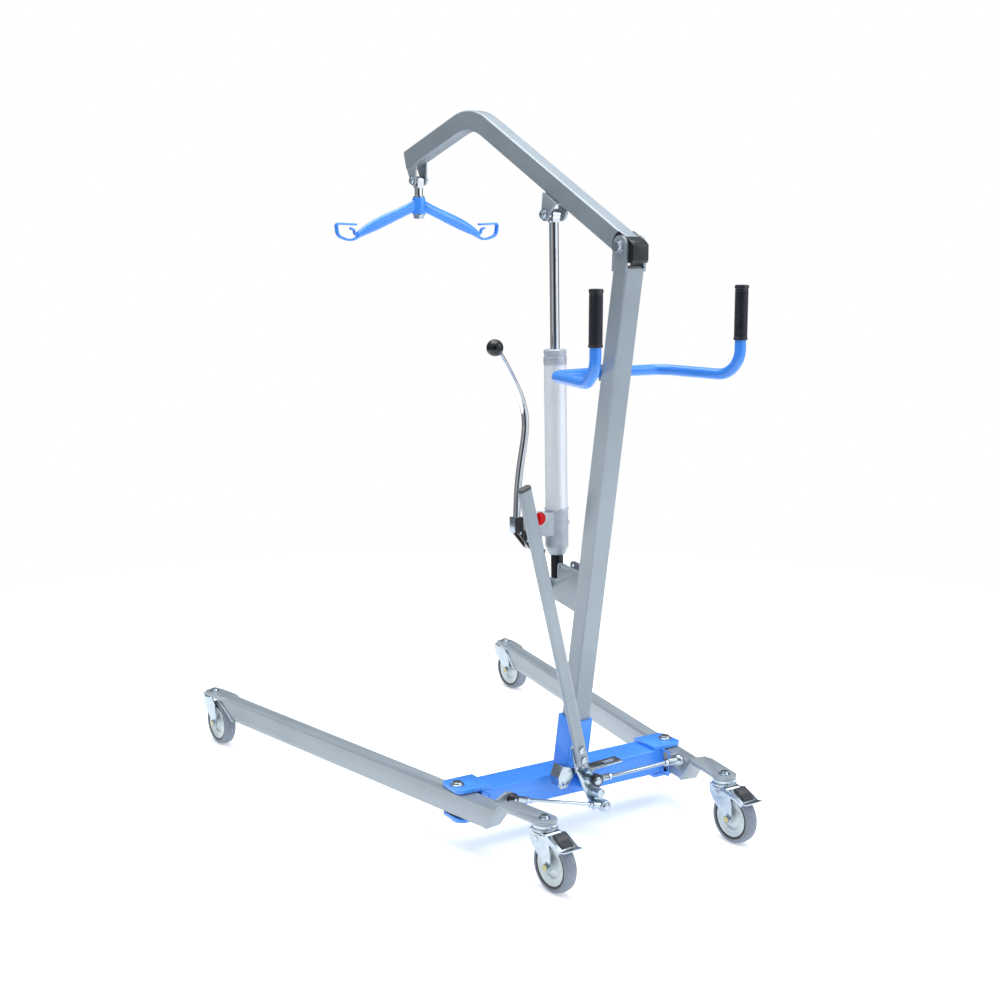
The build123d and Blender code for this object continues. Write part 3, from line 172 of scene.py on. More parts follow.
def powder_coat(name, colour, rough, metal, coat):
    """Paint with fine orange peel, faint flake and a soft clouding."""
    paint = Finish(name, colour, rough, metal, coat)
    paint.mottle(paint.noise(9, 4), 0.95, 1.05)
    # Painted highlight: convex edges drawn in a lighter tint, as if they catch the light.
    paint.painted_edge_highlight((*(min(1, c * 1.5 + 0.05) for c in colour[:3]), 1), 0.3)
    paint.vary_rough(paint.noise(900, 2), 0.05)
    paint.bump(paint.noise(420, 2), 0.12, 0.0002)
    return paint.bump(paint.noise(2600, 1), 0.05, 0.0001).material


def plated(name, colour, rough):
    """Bright plate: barely cloudy, with fine rolling marks."""
    metal = Finish(name, colour, rough, 1.0)
    metal.mottle(metal.noise(70, 4), 0.93, 1.04)
    metal.vary_rough(metal.noise(180, 4, (1, 1, 4)), 0.05)
    return metal.bump(metal.noise(900, 2, (1, 1, 3)), 0.05, 0.00008).material


def chromed(name):
    metal = Finish(name, rgb(226, 230, 234), 0.07, 1.0)
    metal.mottle(metal.noise(40, 2), 0.96, 1.03)
    return metal.vary_rough(metal.noise(300, 5, (1, 1, 0.1)), 0.025).material


def moulded(name, colour, rough, grain=0.05):
    plastic = Finish(name, colour, rough)
    plastic.mottle(plastic.noise(60, 3), 0.93, 1.07)
    plastic.vary_rough(plastic.noise(500, 3), 0.05)
    return plastic.bump(plastic.noise(1500, 2), grain, 0.0001).material


def cast(name, colour):
    """Painted sand casting: a coarse skin under grey paint."""
    alloy = Finish(name, colour, 0.48, 0.25, 0.1)
    alloy.mottle(alloy.noise(70, 5), 0.90, 1.08)
    # Painted highlight: convex edges of the casting drawn lighter, as if they catch the light.
    alloy.painted_edge_highlight((*(min(1, c * 1.6) for c in colour[:3]), 1), 0.25)
    alloy.bump(alloy.noise(330, 4), 0.35, 0.0003)
    return alloy.material


def tyre_rubber(name, colour):
    rubber = Finish(name, colour, 0.62, specular=0.35)
    rubber.mottle(rubber.noise(45, 5), 0.86, 1.10)
    rubber.vary_rough(rubber.noise(140, 4), 0.08)
    return rubber.bump(rubber.noise(900, 4), 0.18, 0.0002).material


SILVER = rgb(148, 160, 169)
BLUE = rgb(60, 144, 250)
MATERIALS = {
    "silver_paint": powder_coat("silver_paint_coat", SILVER, 0.40, 0.30, 0.15),
    "blue_paint": powder_coat("blue_paint_coat", BLUE, 0.30, 0.0, 0.35),
    "cylinder_paint": powder_coat("cylinder_coat", rgb(232, 238, 246), 0.24, 0.15, 0.4),
    "zinc": plated("zinc_plate", rgb(180, 193, 203), 0.20),
    "chrome": chromed("hard_chrome"),
    "cast_alloy": cast("cast_grey", rgb(180, 188, 198)),
    "dark_steel": plated("dark_steel_skin", rgb(62, 63, 68), 0.36),
    "black_steel": moulded("black_lacquer", rgb(20, 20, 22), 0.34),
    "black_plastic": moulded("black_moulding", rgb(22, 25, 31), 0.22),
    "black_rubber": moulded("grip_rubber", rgb(34, 36, 46), 0.36, 0.2),
    "grey_plastic": moulded("grey_moulding", rgb(58, 62, 68), 0.40),
    "red_plastic": moulded("red_moulding", rgb(214, 16, 24), 0.22),
    "white_plastic": moulded("rim_moulding", rgb(206, 218, 222), 0.28),
    "grey_tyre": tyre_rubber("grey_tread", rgb(132, 142, 156)),
}
BRASS = plated("yellow_zinc", rgb(178, 174, 130), 0.30)


# ---------------------------------------------------------------- mesh tools
def keep(piece, body, slot_name, nodes=(), material=None):
    """Give a piece its finish and its body, and hide the CAD nodes it stands for."""
    piece.data.materials.clear()
    piece.data.materials.append(material or MATERIALS[slot_name])
    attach(piece, body)
    if nodes:
        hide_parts(*nodes)
    return piece


def link(name, mesh):
    piece = bpy.data.objects.new(name, mesh)
    bpy.context.scene.collection.objects.link(piece)
    return piece


def from_bmesh(name, work, smooth_angle=35):
    mesh = bpy.data.meshes.new(name)
    bmesh.ops.recalc_face_normals(work, faces=work.faces)
    work.to_mesh(mesh)
    work.free()
    mesh.shade_smooth()
    mesh.set_sharp_from_angle(angle=radians(smooth_angle))
    return link(name, mesh)


def apply_modifiers(piece, smooth_angle=35):
    """Replace a piece's mesh by what its modifiers make of it."""
    graph = bpy.context.evaluated_depsgraph_get()
    mesh = bpy.data.meshes.new_from_object(piece.evaluated_get(graph))
    piece.modifiers.clear()
    piece.data = mesh
    mesh.shade_smooth()
    mesh.set_sharp_from_angle(angle=radians(smooth_angle))


def skin(node, width, segments=2):
    """A bevelled copy of a CAD node, which it replaces; width 0 leaves the edges as they are."""
    source = frame["nodes"][node]
    work = bmesh.new()
    work.from_mesh(source.data)
    bmesh.ops.remove_doubles(work, verts=work.verts, dist=2e-6)
    bmesh.ops.dissolve_limit(work, angle_limit=radians(0.6), verts=work.verts, edges=work.edges)
    piece = from_bmesh(node + "_skin", work, BEVEL_ANGLE)
    if width:
        bevel = piece.modifiers.new("bevel", "BEVEL")
        bevel.limit_method = "ANGLE"
        bevel.angle_limit = radians(BEVEL_ANGLE)
        bevel.width = width * MM
        bevel.segments = segments
        bevel.use_clamp_overlap = True
        apply_modifiers(piece, 40)
    return keep(piece, source["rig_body"], NODE_SLOT[node], [node])


def cast_skin(node, voxel=0.9, smooth=5, triangles=0.35):
    """A copy of a CAD node with every edge run soft, as in a casting."""
    source = frame["nodes"][node]
    work = bmesh.new()
    work.from_mesh(source.data)
    bmesh.ops.remove_doubles(work, verts=work.verts, dist=2e-6)
    piece = from_bmesh(node + "_skin", work)
    remesh = piece.modifiers.new("remesh", "REMESH")
    remesh.mode = "VOXEL"
    remesh.voxel_size = voxel * MM
    soften = piece.modifiers.new("soften", "SMOOTH")
    soften.iterations = smooth
    soften.factor = 0.6
    thin = piece.modifiers.new("thin", "DECIMATE")
    thin.ratio = triangles
    apply_modifiers(piece, 60)
    return keep(piece, source["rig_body"], NODE_SLOT[node], [node])


def rounded(points, radius, steps=6, closed=True):
    """Outline with its corners turned into arcs.  A point may carry its own radius."""
    corners = [(Vector(p[:2]), p[2] if len(p) > 2 else radius) for p in points]
    out = []
    for i, (corner, r) in enumerate(corners):
        if not closed and i in (0, len(corners) - 1) or r <= 0:
            out.append(corner)
            continue
        to_last = corners[i - 1][0] - corner
        to_next = corners[(i + 1) % len(corners)][0] - corner
        half = to_last.angle(to_next) / 2
        reach = min(r / max(0.05, abs(sin(half) / cos(half))),
                    0.45 * to_last.length, 0.45 * to_next.length)
        start = corner + to_last.normalized() * reach
        end = corner + to_next.normalized() * reach
        for k in range(steps + 1):
            t = k / steps
            out.append(start * (1 - t) ** 2 + corner * 2 * t * (1 - t) + end * t ** 2)
    return out


def capped(points, radius, steps):
    """Rounded outline of a turned cap, which starts and ends exactly on the axis."""
    outline = rounded(points, radius, steps)
    outline[0] = Vector(points[0])
    outline[-1] = Vector(points[-1])
    return outline


def axes(origin, x_dir, z_dir):
    """Matrix of a local frame, from its origin and two directions."""
    z = Vector(z_dir).normalized()
    x = Vector(x_dir)
    x = (x - z * x.dot(z)).normalized()
    y = z.cross(x)
    turn = Matrix((x, y, z)).transposed().to_4x4()
    return Matrix.Translation(Vector(origin)) @ turn


def lathe(name, outline, matrix, steps=72):
    """Turned about the local z axis from (radius, height) points in millimetres."""
    work = bmesh.new()
    rings = []
    for radius, height in outline:
        if radius < 1e-6:
            rings.append([work.verts.new(matrix @ Vector((0, 0, height * MM)))])
        else:
            rings.append([
                work.verts.new(matrix @ Vector((radius * MM * cos(2 * pi * k / steps),
                                                radius * MM * sin(2 * pi * k / steps), height * MM)))
                for k in range(steps)])
    closed = outline[0][0] > 1e-6
    pairs = zip(rings, rings[1:] + rings[:1]) if closed else zip(rings, rings[1:])
    for low, high in pairs:
        for k in range(steps):
            after = (k + 1) % steps
            loop = [low[k % len(low)], low[after % len(low)],
                    high[after % len(high)], high[k % len(high)]]
            loop = list(dict.fromkeys(loop))
            if len(loop) > 2:
                work.faces.new(loop)
    return from_bmesh(name, work)


def plate(name, outline, low, high, matrix, bevel):
    """Outline in the local xy plane (millimetres), as thick as low..high, with rounded rims."""
    work = bmesh.new()
    bottom = [work.verts.new(matrix @ Vector((p[0] * MM, p[1] * MM, low * MM))) for p in outline]
    top = [work.verts.new(matrix @ Vector((p[0] * MM, p[1] * MM, high * MM))) for p in outline]
    work.faces.new(bottom[::-1])
    work.faces.new(top)
    for k in range(len(outline)):
        after = (k + 1) % len(outline)
        work.faces.new([bottom[k], bottom[after], top[after], top[k]])
    rims = [e for e in work.edges if len({v in bottom for v in e.verts}) == 1]
    bmesh.ops.bevel(work, geom=rims, offset=bevel * MM, segments=3, affect="EDGES", profile=0.5,
                    clamp_overlap=True)
    return from_bmesh(name, work)


def sweep_loop(name, points, section, across):
    """Section (2D points in metres, by share of the way) carried round a closed line of points."""
    work = bmesh.new()
    rings = []
    count = len(points)
    for i, point in enumerate(points):
        matrix = axes(point, across, points[(i + 1) % count] - points[i - 1])
        rings.append([work.verts.new(matrix @ Vector((*p, 0))) for p in section(i / (count - 1))])
    around = len(rings[0])
    for low, high in zip(rings, rings[1:] + rings[:1]):
        for k in range(around):
            after = (k + 1) % around
            work.faces.new([low[k], low[after], high[after], high[k]])
    return from_bmesh(name, work, 50)


def circle(radius, steps):
    return [(radius * cos(2 * pi * k / steps), radius * sin(2 * pi * k / steps)) for k in range(steps)]


def weld(name, corners, radius):
    """Scalloped weld bead on the chassis, round a closed line of corners."""
    pitch = 1.1 * MM
    scallop = 2.6 * MM
    points = []
    for start, end in zip(corners, corners[1:] + corners[:1]):
        steps = max(2, round((Vector(end) - Vector(start)).length / pitch))
        points += [Vector(start).lerp(Vector(end), k / steps) for k in range(steps)]
    count = len(points)

    def ripple(share):
        phase = share * (count - 1) * pitch / scallop
        return circle(radius * (1 + 0.16 * abs(sin(pi * phase))), 8)

    bead = sweep_loop(name, points, ripple, (0.31, 0.52, 0.79))
    return keep(bead, "chassis", "blue_paint")


def axle_nut(name, matrix, across, height, body):
    """Yellow-plated hexagon nut with a chamfered top and a washer face."""
    flat = across / cos(pi / 6)
    work = bmesh.new()
    levels = ((0, 0.94), (height * 0.06, 1.0), (height * 0.86, 1.0), (height, 0.88))
    rings = []
    for z, share in levels:
        rings.append([work.verts.new(matrix @ Vector((flat * share * MM * cos(k * pi / 3),
                                                      flat * share * MM * sin(k * pi / 3), z * MM)))
                      for k in range(6)])
    for low, high in zip(rings, rings[1:]):
        for k in range(6):
            work.faces.new([low[k], low[(k + 1) % 6], high[(k + 1) % 6], high[k]])
    work.faces.new(rings[0][::-1])
    work.faces.new(rings[-1])
    return keep(from_bmesh(name, work, 20), body, "zinc", material=BRASS)


# ---------------------------------------------------------------- casters
WHEEL_HALF = 13.0
FORK_HALF = 18.5


def caster_axes(hand, end):
    """Local frame of a caster on the floor below its swivel: x trails, z is up."""
    swivel = Vector(JOINTS[f"{hand}_{end}_caster_swivel"]["pos_m"])
    axle = Vector(JOINTS[f"{hand}_{end}_wheel_spin"]["pos_m"])
    trail = Vector((axle.x - swivel.x, axle.y - swivel.y, 0))
    return axes((swivel.x, swivel.y, 0), trail, (0, 0, 1)), trail.length / MM, axle.z / MM


def make_wheel(hand, end):
    base, trail, radius = caster_axes(hand, end)
    body = f"{hand}_{end}_wheel"
    hub = base @ Matrix.Translation((trail * MM, 0, radius * MM)) @ Matrix.Rotation(-pi / 2, 4, "X")
    h = WHEEL_HALF
    tread = [(40, -h + 1.0), (42.5, -h, 1.0), (46, -h + 0.4, 2), (48.6, -h + 3.0, 3), (49.5, -4, 1),
             (49.2, -3.2, 0.3), (49.6, -2.6, 0.3), (50, 0, 2), (49.6, 2.6, 0.3), (49.2, 3.2, 0.3),
             (49.5, 4, 1), (48.6, h - 3.0, 3), (46, h - 0.4, 2), (42.5, h, 1.0), (40, h - 1.0)]
    outline = rounded(tread, 0.5, 4)
    keep(lathe(f"{hand}_{end}_tyre", outline, hub, 96), body, "grey_tyre",
         [f"{hand}_{end}_caster_tyre"])
    ring = rounded([(35.6, -h + 2.2), (36.4, -h + 1.0), (41.4, -h + 0.5), (42.2, -h + 1.6),
                    (41.6, h - 1.6), (42.2, h - 1.6), (41.4, h - 0.5), (36.4, h - 1.0),
                    (35.6, h - 2.2)], 0.25, 3)
    keep(lathe(f"{hand}_{end}_ring", ring, hub, 96), body, "black_plastic")
    side = [(4.1, 15.4), (8.4, 15.4, 0.8), (9.2, 10.0, 2), (11.5, 6.2, 2), (20, 4.6, 2),
            (22.6, 5.2, 0.8), (23.6, 8.2, 1.0), (25.4, 8.4, 0.5), (30.5, h - 3.2, 2.0),
            (33.8, h - 1.4, 1.2), (36.2, h - 1.2, 0.6), (36.2, 0)]
    face = rounded(side, 0.6, 4, closed=False)
    rim = face + [(r, -z) for r, z in reversed(face)]
    keep(lathe(f"{hand}_{end}_rim", rim, hub, 96), body, "white_plastic", [f"{hand}_{end}_caster_rim"])


def make_fork(hand, end):
    base, trail, radius = caster_axes(hand, end)
    body = f"{hand}_{end}_caster"
    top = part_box(f"{hand}_{end}_caster_fork")[1].z / MM
    skin(f"{hand}_{end}_caster_fork", 1.1, 3)
    cup = rounded([(6.4, top), (18, top), (22.2, top - 0.4, 1.5), (23.0, top - 3.0, 2),
                   (22.6, top - 5.6, 1), (20.6, top - 5.8, 0.5), (20.4, top - 2.4, 1.5),
                   (6.4, top - 2.4)], 0.3, 4)
    keep(lathe(f"{hand}_{end}_cup", cup, base, 64), body, "zinc")
    for turn in (-1, 1):
        out = base @ Matrix.Translation((trail * MM, turn * FORK_HALF * MM, radius * MM))
        out = out @ Matrix.Rotation(-turn * pi / 2, 4, "X")
        side = "left" if turn > 0 else "right"
        washer = rounded([(0, 0), (9.2, 0), (9.2, 1.0, 0.4), (8.4, 1.5, 0.4), (0, 1.5)], 0.2, 3)
        keep(lathe(f"{hand}_{end}_washer_{side}", [(0, 0)] + washer[1:], out, 48), body, "zinc")
        nut = out @ Matrix.Translation((0, 0, 1.4 * MM))
        axle_nut(f"{hand}_{end}_nut_{side}", nut, 6.0, 4.4, body)


def make_race(hand):
    """Bearing cup between a rear leg plate and its fork: barrel, groove and lip."""
    base, _, _ = caster_axes(hand, "rear")
    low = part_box(f"{hand}_rear_caster_fork")[1].z / MM + 0.3
    high = low + 12.6
    cup = rounded([(6, high), (21.6, high), (22.6, high - 0.8, 0.8), (22.6, low + 6.4, 0.8),
                   (21.4, low + 5.6, 0.3), (21.4, low + 5.0, 0.3), (23.9, low + 4.2, 0.8),
                   (24.2, low + 2.4, 1), (23.2, low + 0.6, 0.8), (21.0, low + 0.2), (6, low + 0.2)],
                  0.2, 4)
    keep(lathe(f"{hand}_bearing_cup", cup, base, 72), f"{hand}_leg_frame", "zinc")
    seal = [(20, low), (22.3, low), (22.3, low + 0.7), (20, low + 0.7)]
    keep(lathe(f"{hand}_bearing_seal", seal, base, 72), f"{hand}_leg_frame", "black_plastic")


def make_pedal(hand):
    """Brake pedal: the CAD skin, a moulded pad over it, and five ribs across the tread."""
    skin(f"{hand}_brake_pedal", 0.7)
    base, _, _ = caster_axes(hand, "rear")
    side = base @ Matrix.Rotation(pi / 2, 4, "X")
    pad = rounded([(35.8, 105.5), (39.8, 112.2, 1.2), (50.4, 109.8, 2), (54.3, 104.3, 2),
                   (66.6, 98.7, 1.0), (67.4, 93.2, 0.8), (52, 99.5)], 0.8, 4)
    keep(plate(f"{hand}_pedal_pad", pad, -12.3, 12.3, side, 0.8), f"{hand}_brake", "grey_plastic")
    for rib in range(5):
        along = 56.0 + rib * 2.2
        height = 104.3 - (along - 54.3) * 0.455
        strip = rounded([(along, height - 0.6), (along + 0.4, height + 0.45),
                         (along + 1.2, height + 0.1), (along + 1.0, height - 1.0)], 0.2, 2)
        keep(plate(f"{hand}_pedal_rib_{rib}", strip, -10.5, 10.5, side, 0.2), f"{hand}_brake",
             "grey_plastic")


# ---------------------------------------------------------------- grips and knobs
def make_grips():
    """Two ribbed rubber grips with a collar at the foot and a domed end."""
    low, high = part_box("handle_grips")
    foot = low.z / MM
    head = high.z / MM
    radius = 12.5
    reach = (high.x - low.x) / 2 / MM - radius
    y = (low.y + high.y) / 2
    outline = [(9.9, foot), (radius - 0.6, foot), (radius, foot + 0.8), (radius, foot + 4.2),
               (radius - 0.9, foot + 5)]
    pitch = 2.6
    ribs = int((head - foot - 15) / pitch)
    for rib in range(ribs):
        z = foot + 6 + rib * pitch
        outline += [(radius - 1.1, z), (radius - 0.35, z + 0.7), (radius - 0.35, z + 1.5),
                    (radius - 1.1, z + 2.1)]
    outline += [(radius - 0.9, head - 7), (radius, head - 6), (radius, head - 2),
                (radius - 0.7, head - 0.5), (radius - 2.2, head), (0, head)]
    for side in (-1, 1):
        base = Matrix.Translation((side * reach * MM, y, 0))
        name = "grip_left" if side > 0 else "grip_right"
        keep(lathe(name, outline, base, 64), "chassis", "black_rubber")
    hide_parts("handle_grips")


def make_release_knob():
    """White ring, dished red disc and the bar across it."""
    joint = JOINTS["release_turn"]
    out = axes(joint["pos_m"], (0, 0, 1), joint["axis"])
    ring = capped([(0, -1.2), (15.6, -1.2, 0.4), (15.6, 4.2, 1.0), (14.4, 5.4, 0.8), (13.2, 5.2, 0.3),
                   (13.0, 3.8, 0.3), (0, 3.8)], 0.3, 4)
    keep(lathe("release_ring", ring, out, 64), "valve_knob", "white_plastic")
    dish = capped([(0, 3.6), (12.9, 3.6), (12.9, 4.6, 0.5), (11.6, 5.2, 0.6), (6, 4.8), (0, 4.7)],
                  0.3, 4)
    disc = lathe("release_disc", dish, out, 64)
    keep(disc, "valve_knob", "red_plastic", ["release_knob"])
    bar = rounded([(-10.5, -2.3), (10.5, -2.3), (10.5, 2.3), (-10.5, 2.3)], 2.2, 6)
    keep(plate("release_bar", bar, 4.4, 9.0, out, 0.9), "valve_knob", "red_plastic")


def make_socket_trim():
    """Zinc side strip and the pins of the pump lever's linkage."""
    hinge_spot = Vector(JOINTS["pump_stroke"]["pos_m"])
    along = Vector(JOINTS["plunger_stroke"]["axis"])
    back = Vector(JOINTS["pump_stroke"]["axis"])
    facing = axes(hinge_spot, (1, 0, 0), back)
    up = 1 if (facing.to_3x3() @ Vector((0, 1, 0))).dot(along) > 0 else -1
    for x, y, radius in ((0, 0, 5.2), (14, 10, 3.2), (30, 26, 3.0)):
        head = capped([(0, 9.8), (radius, 9.8, 0.3), (radius, 12.6, 0.6), (radius * 0.6, 13.6, 0.8),
                       (0, 13.8)], 0.3, 4)
        spot = facing @ Matrix.Translation((x * MM, up * y * MM, 0))
        keep(lathe(f"linkage_pin_{x}", head, spot, 32), "pump_handle", "zinc")
    strip = rounded([(39.8, up * 27), (41.2, up * 27), (41.2, up * 56.8), (39.8, up * 56.8)], 0.4, 2)
    keep(plate("socket_strip", strip, -9, 9, facing, 0.5), "pump_handle", "zinc")


def make_rod_shell():
    """Smooth ground surface of the piston rod, between the piston and the rod's eye."""
    along = axes(JOINTS["cylinder_tilt"]["pos_m"], (1, 0, 0), JOINTS["rod_slide"]["axis"])
    local = [along.inverted() @ v.co / MM for v in frame["nodes"]["piston_rod"].data.vertices]
    low = min(p.z for p in local)
    high = max(p.z for p in local) - 25.5
    radius = max(hypot(p.x, p.y) for p in local if p.z < low + 10) + 0.04
    shell = [(radius - 1, low), (radius, low + 0.2), (radius, high), (radius - 1, high + 0.4)]
    keep(lathe("piston_rod_shell", shell, along, 96), "rod", "chrome")


# The pump lever's line, across and along the cylinder from its foot, in millimetres.
LEVER_LINE = ((93, 112), (92, 172), (85, 236), (69, 298), (69, 352), (94, 400), (127, 452))


def make_pump_lever():
    """Bent tube of the pump lever, as one smooth sweep along the cylinder's front plane."""
    foot = Vector(JOINTS["cylinder_tilt"]["pos_m"])
    up = Vector(JOINTS["plunger_stroke"]["axis"])
    curve = bpy.data.curves.new("pump_lever_line", "CURVE")
    curve.dimensions = "3D"
    curve.bevel_depth = 7.0 * MM
    curve.bevel_resolution = 10
    curve.resolution_u = 16
    curve.use_fill_caps = True
    spline = curve.splines.new("NURBS")
    spline.points.add(len(LEVER_LINE) - 1)
    for point, (x, height) in zip(spline.points, LEVER_LINE):
        point.co = (*(foot + Vector((x * MM, 0, 0)) + up * height * MM), 1)
    spline.order_u = 4
    spline.use_endpoint_u = True
    piece = link("pump_lever_tube", curve)
    graph = bpy.context.evaluated_depsgraph_get()
    mesh = bpy.data.meshes.new_from_object(piece.evaluated_get(graph))
    bpy.data.objects.remove(piece)
    mesh.shade_smooth()
    mesh.set_sharp_from_angle(angle=radians(40))
    keep(link("pump_lever_tube", mesh), "pump_handle", "chrome", ["pump_lever"])


# ---------------------------------------------------------------- ball joints of the tie rods
CRANK_TILT = radians(19.6)     # the crank's lean at rest
CRANK_REACH = 0.030            # from the crank's pivot to each ball


def make_ball_joints():
    """Rubber boot at the left leg, and the domes and collars of the two joints on the crank."""
    left_leg = JOINTS["left_tie_rod_turn"]["pos_m"]
    facing = axes(left_leg, (1, 0, 0), (0, 1, 0))
    boot = capped([(0, -6), (7, -7.5), (10.6, -4), (11.6, 1, 3), (10, 6.5, 4), (5.5, 10.2, 4), (0, 11)],
                  2, 5)
    keep(lathe("left_rod_boot", boot, facing, 48), "left_rod", "black_rubber")
    pivot = Vector(JOINTS["spread_lever_swing"]["pos_m"])
    reach = Vector((sin(CRANK_TILT), 0, cos(CRANK_TILT))) * CRANK_REACH
    ball_y = left_leg[1] - MM
    for body, turn in (("right_rod", 1), ("left_rod", -1)):
        place = pivot + reach * turn
        facing = axes((place.x, ball_y, place.z), (1, 0, 0), (0, 1, 0))
        dome = capped([(0, 8), (8, 8, 0.5), (8.4, 10.4, 0.5), (6.5, 12.6, 2), (3, 13.6, 2), (0, 13.8)],
                      0.3, 4)
        keep(lathe(body + "_crank_dome", dome, facing, 48), body, "zinc")
        collar = rounded([(8.1, -2), (12.0, -2), (12.4, 3), (12.0, 9.6), (8.1, 9.6)], 1.0, 4)
        finish = "black_rubber" if turn > 0 else "zinc"
        keep(lathe(body + "_crank_collar", collar, facing, 48), body, finish)


# ---------------------------------------------------------------- weld beads
def make_welds():
    """Beads round the mast socket's foot and round the crossbar's two end flanges."""
    socket_low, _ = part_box("mast_socket")
    bar_low, bar_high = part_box("crossbar")
    bar_top = bar_high.z - 0.007
    x = 0.0312
    y0 = socket_low.y + 0.0005
    y1 = socket_low.y + 0.0565
    weld("socket_weld", [(-x, y0, bar_top), (x, y0, bar_top), (x, y1, bar_top), (-x, y1, bar_top)],
         1.6 * MM)
    middle_y = (bar_low.y + bar_high.y) / 2
    middle_z = bar_top - 0.025
    y0 = middle_y - 0.0353
    y1 = middle_y + 0.0353
    z0 = middle_z - 0.0248
    z1 = middle_z + 0.0248
    for side, name in ((-1, "flange_weld_right"), (1, "flange_weld_left")):
        x = side * 0.2142
        weld(name, [(x, y0, z1), (x, y1, z1), (x, y1, z0), (x, y0, z0)], 1.3 * MM)


# ---------------------------------------------------------------- everything
# CAD nodes that keep their shape, in the order made, and the bevel of each in millimetres.
SKINS = {
    "crossbar": 1.0, "mast_socket": 1.0, "socket_screws": 0.5, "mast": 0.8, "mast_top_cap": 0.4,
    "boom_pivot_bolt": 0.6, "pump_bracket": 0.7, "foot_pivot_bolt": 0.5, "leg_pivot_bolts": 0.7,
    "leg_pivot_bushes": 0.3, "stop_plate": 0.6, "handle_saddle": 0.7,
    "boom": 0.8, "boom_end_cap": 1.2, "boom_clevis": 0.8, "clevis_studs": 0.5, "hanger_lugs": 0.8,
    "hanger_bolt": 0.5, "hanger_pin": 0.5, "swivel_nut": 0.5, "spreader_hub": 0.8,
    "spreader_arms": 0.0, "sling_hooks": 0.4, "cylinder_head": 0.5, "pump_foot": 0.6, "piston": 0.2,
    "lever_socket": 0.8, "pump_plunger": 0.3, "crank_plate": 0.7, "spread_lever": 0.5,
    "spread_lever_cap": 0.8, "crank_fasteners": 0.4, "left_tie_rod": 0.4, "right_tie_rod": 0.4,
    "left_leg": 0.7, "right_leg": 0.7, "left_leg_fasteners": 0.5, "right_leg_fasteners": 0.5,
    "push_handle": 0.0, "cylinder_tube": 0.0, "piston_rod": 0.0, "lever_knob": 0.0,
}
for node_name, width in SKINS.items():
    skin(node_name, width)
cast_skin("pump_body")
for hand_name in ("left", "right"):
    make_race(hand_name)
    make_pedal(hand_name)
    for end_name in ("rear", "front"):
        make_wheel(hand_name, end_name)
        make_fork(hand_name, end_name)
make_grips()
make_release_knob()
make_ball_joints()
make_socket_trim()
make_rod_shell()
make_pump_lever()
make_welds()


# ---------------------------------------------------------------- stage
def make_floor():
    """White paper disc under the object, bright enough to leave only soft shadows."""
    work = bmesh.new()
    bmesh.ops.create_circle(work, cap_ends=True, radius=2.4, segments=96)
    floor = from_bmesh("floor", work)
    paper = Finish("floor_paper", (0.9, 0.9, 0.9, 1), 0.9, specular=0.1)
    paper.shader.inputs["Emission Color"].default_value = (1, 1, 1, 1)
    paper.shader.inputs["Emission Strength"].default_value = 0.36
    floor.data.materials.append(paper.material)


def area_light(name, spot, target, size, power):
    data = bpy.data.lights.new(name, "AREA")
    data.shape = "RECTANGLE"
    data.size, data.size_y = size
    data.energy = power
    lamp = bpy.data.objects.new(name, data)
    bpy.context.scene.collection.objects.link(lamp)
    aim = Vector(target) - Vector(spot)
    turn = aim.to_track_quat("-Z", "Y").to_matrix().to_4x4()
    lamp.matrix_world = Matrix.Translation(Vector(spot)) @ turn


# The studio's walls: share of a turn, with 0.5 on the camera's side, and brightness there.
WALLS = ((0.0, 0.12), (0.06, 0.24), (0.42, 0.30), (0.47, 0.03), (0.56, 0.03),
         (0.60, 1.05), (0.76, 1.15), (0.80, 0.15), (1.0, 0.12))
CAMERA_BEARING = radians(57.45)
CAMERA_SPOT = (1.6837, 2.6645, 1.1726)
CAMERA_PITCH = radians(-10.17)


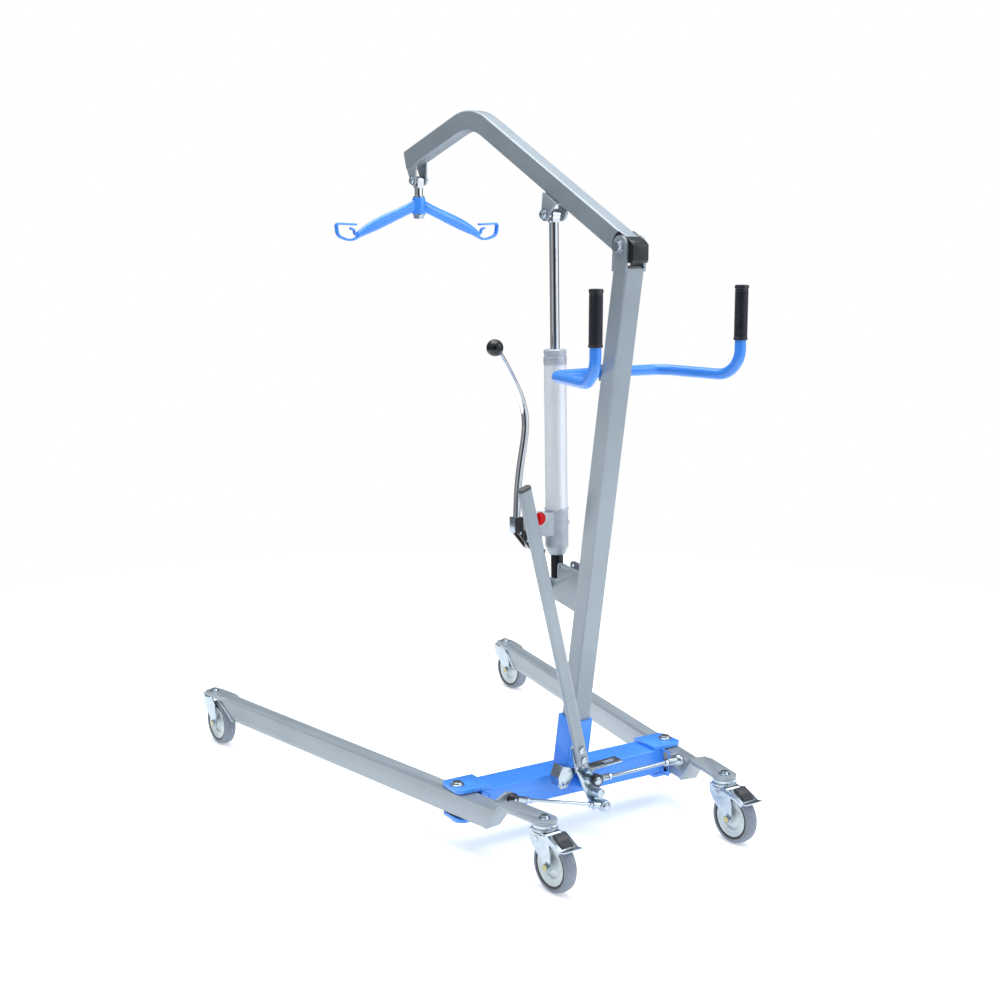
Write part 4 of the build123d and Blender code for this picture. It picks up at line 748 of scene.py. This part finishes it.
def make_world():
    """White for the camera; for the object, walls of light and dark under a bright ceiling."""
    world = bpy.data.worlds.new("studio")
    bpy.context.scene.world = world
    world.use_nodes = True
    nodes, links = world.node_tree.nodes, world.node_tree.links
    back = nodes["Background"]
    coord = nodes.new("ShaderNodeTexCoord")
    turn = nodes.new("ShaderNodeMapping")
    turn.vector_type = "POINT"
    turn.inputs["Rotation"].default_value = (0, 0, -CAMERA_BEARING)
    links.new(coord.outputs["Generated"], turn.inputs["Vector"])
    split = nodes.new("ShaderNodeSeparateXYZ")
    links.new(turn.outputs["Vector"], split.inputs["Vector"])
    bearing = nodes.new("ShaderNodeMath")
    bearing.operation = "ARCTAN2"
    links.new(split.outputs["Y"], bearing.inputs[0])
    links.new(split.outputs["X"], bearing.inputs[1])
    span = nodes.new("ShaderNodeMapRange")
    span.inputs["From Min"].default_value = -pi
    span.inputs["From Max"].default_value = pi
    links.new(bearing.outputs["Value"], span.inputs["Value"])
    walls = nodes.new("ShaderNodeValToRGB")
    for k, (place, level) in enumerate(WALLS):
        stop = walls.color_ramp.elements[k] if k < 2 else walls.color_ramp.elements.new(place)
        stop.position = place
        stop.color = (level * 0.94, level * 0.98, level * 1.04, 1)
    links.new(span.outputs["Result"], walls.inputs["Fac"])
    height = nodes.new("ShaderNodeMapRange")
    height.inputs["From Min"].default_value = 0.35
    height.inputs["From Max"].default_value = 0.80
    links.new(split.outputs["Z"], height.inputs["Value"])
    dome = nodes.new("ShaderNodeMix")
    dome.data_type = "RGBA"
    links.new(height.outputs["Result"], dome.inputs["Factor"])
    links.new(walls.outputs["Color"], dome.inputs["A"])
    dome.inputs["B"].default_value = (0.80, 0.83, 0.86, 1)
    path = nodes.new("ShaderNodeLightPath")
    mix = nodes.new("ShaderNodeMix")
    mix.data_type = "RGBA"
    links.new(path.outputs["Is Camera Ray"], mix.inputs["Factor"])
    links.new(dome.outputs["Result"], mix.inputs["A"])
    mix.inputs["B"].default_value = (1, 1, 1, 1)
    links.new(mix.outputs["Result"], back.inputs["Color"])


def make_camera():
    data = bpy.data.cameras.new("camera")
    data.lens = 55.74
    data.sensor_width = 36
    yaw = CAMERA_BEARING + pi
    aim = Vector((cos(yaw) * cos(CAMERA_PITCH), sin(yaw) * cos(CAMERA_PITCH), sin(CAMERA_PITCH)))
    camera = bpy.data.objects.new("camera", data)
    bpy.context.scene.collection.objects.link(camera)
    place = Matrix.Translation(CAMERA_SPOT)
    camera.matrix_world = place @ aim.to_track_quat("-Z", "Y").to_matrix().to_4x4()
    bpy.context.scene.camera = camera


make_floor()
make_world()
area_light("key", (-2.2, 2.6, 2.6), (0, 0, 0.6), (1.6, 2.2), 34)
area_light("top", (0.2, -0.2, 3.6), (0, 0, 0), (3.0, 3.0), 110)
area_light("fill", (2.8, 0.4, 1.6), (0, 0, 0.6), (1.2, 2.0), 2)
make_camera()
bpy.context.scene.view_settings.view_transform = "Standard"
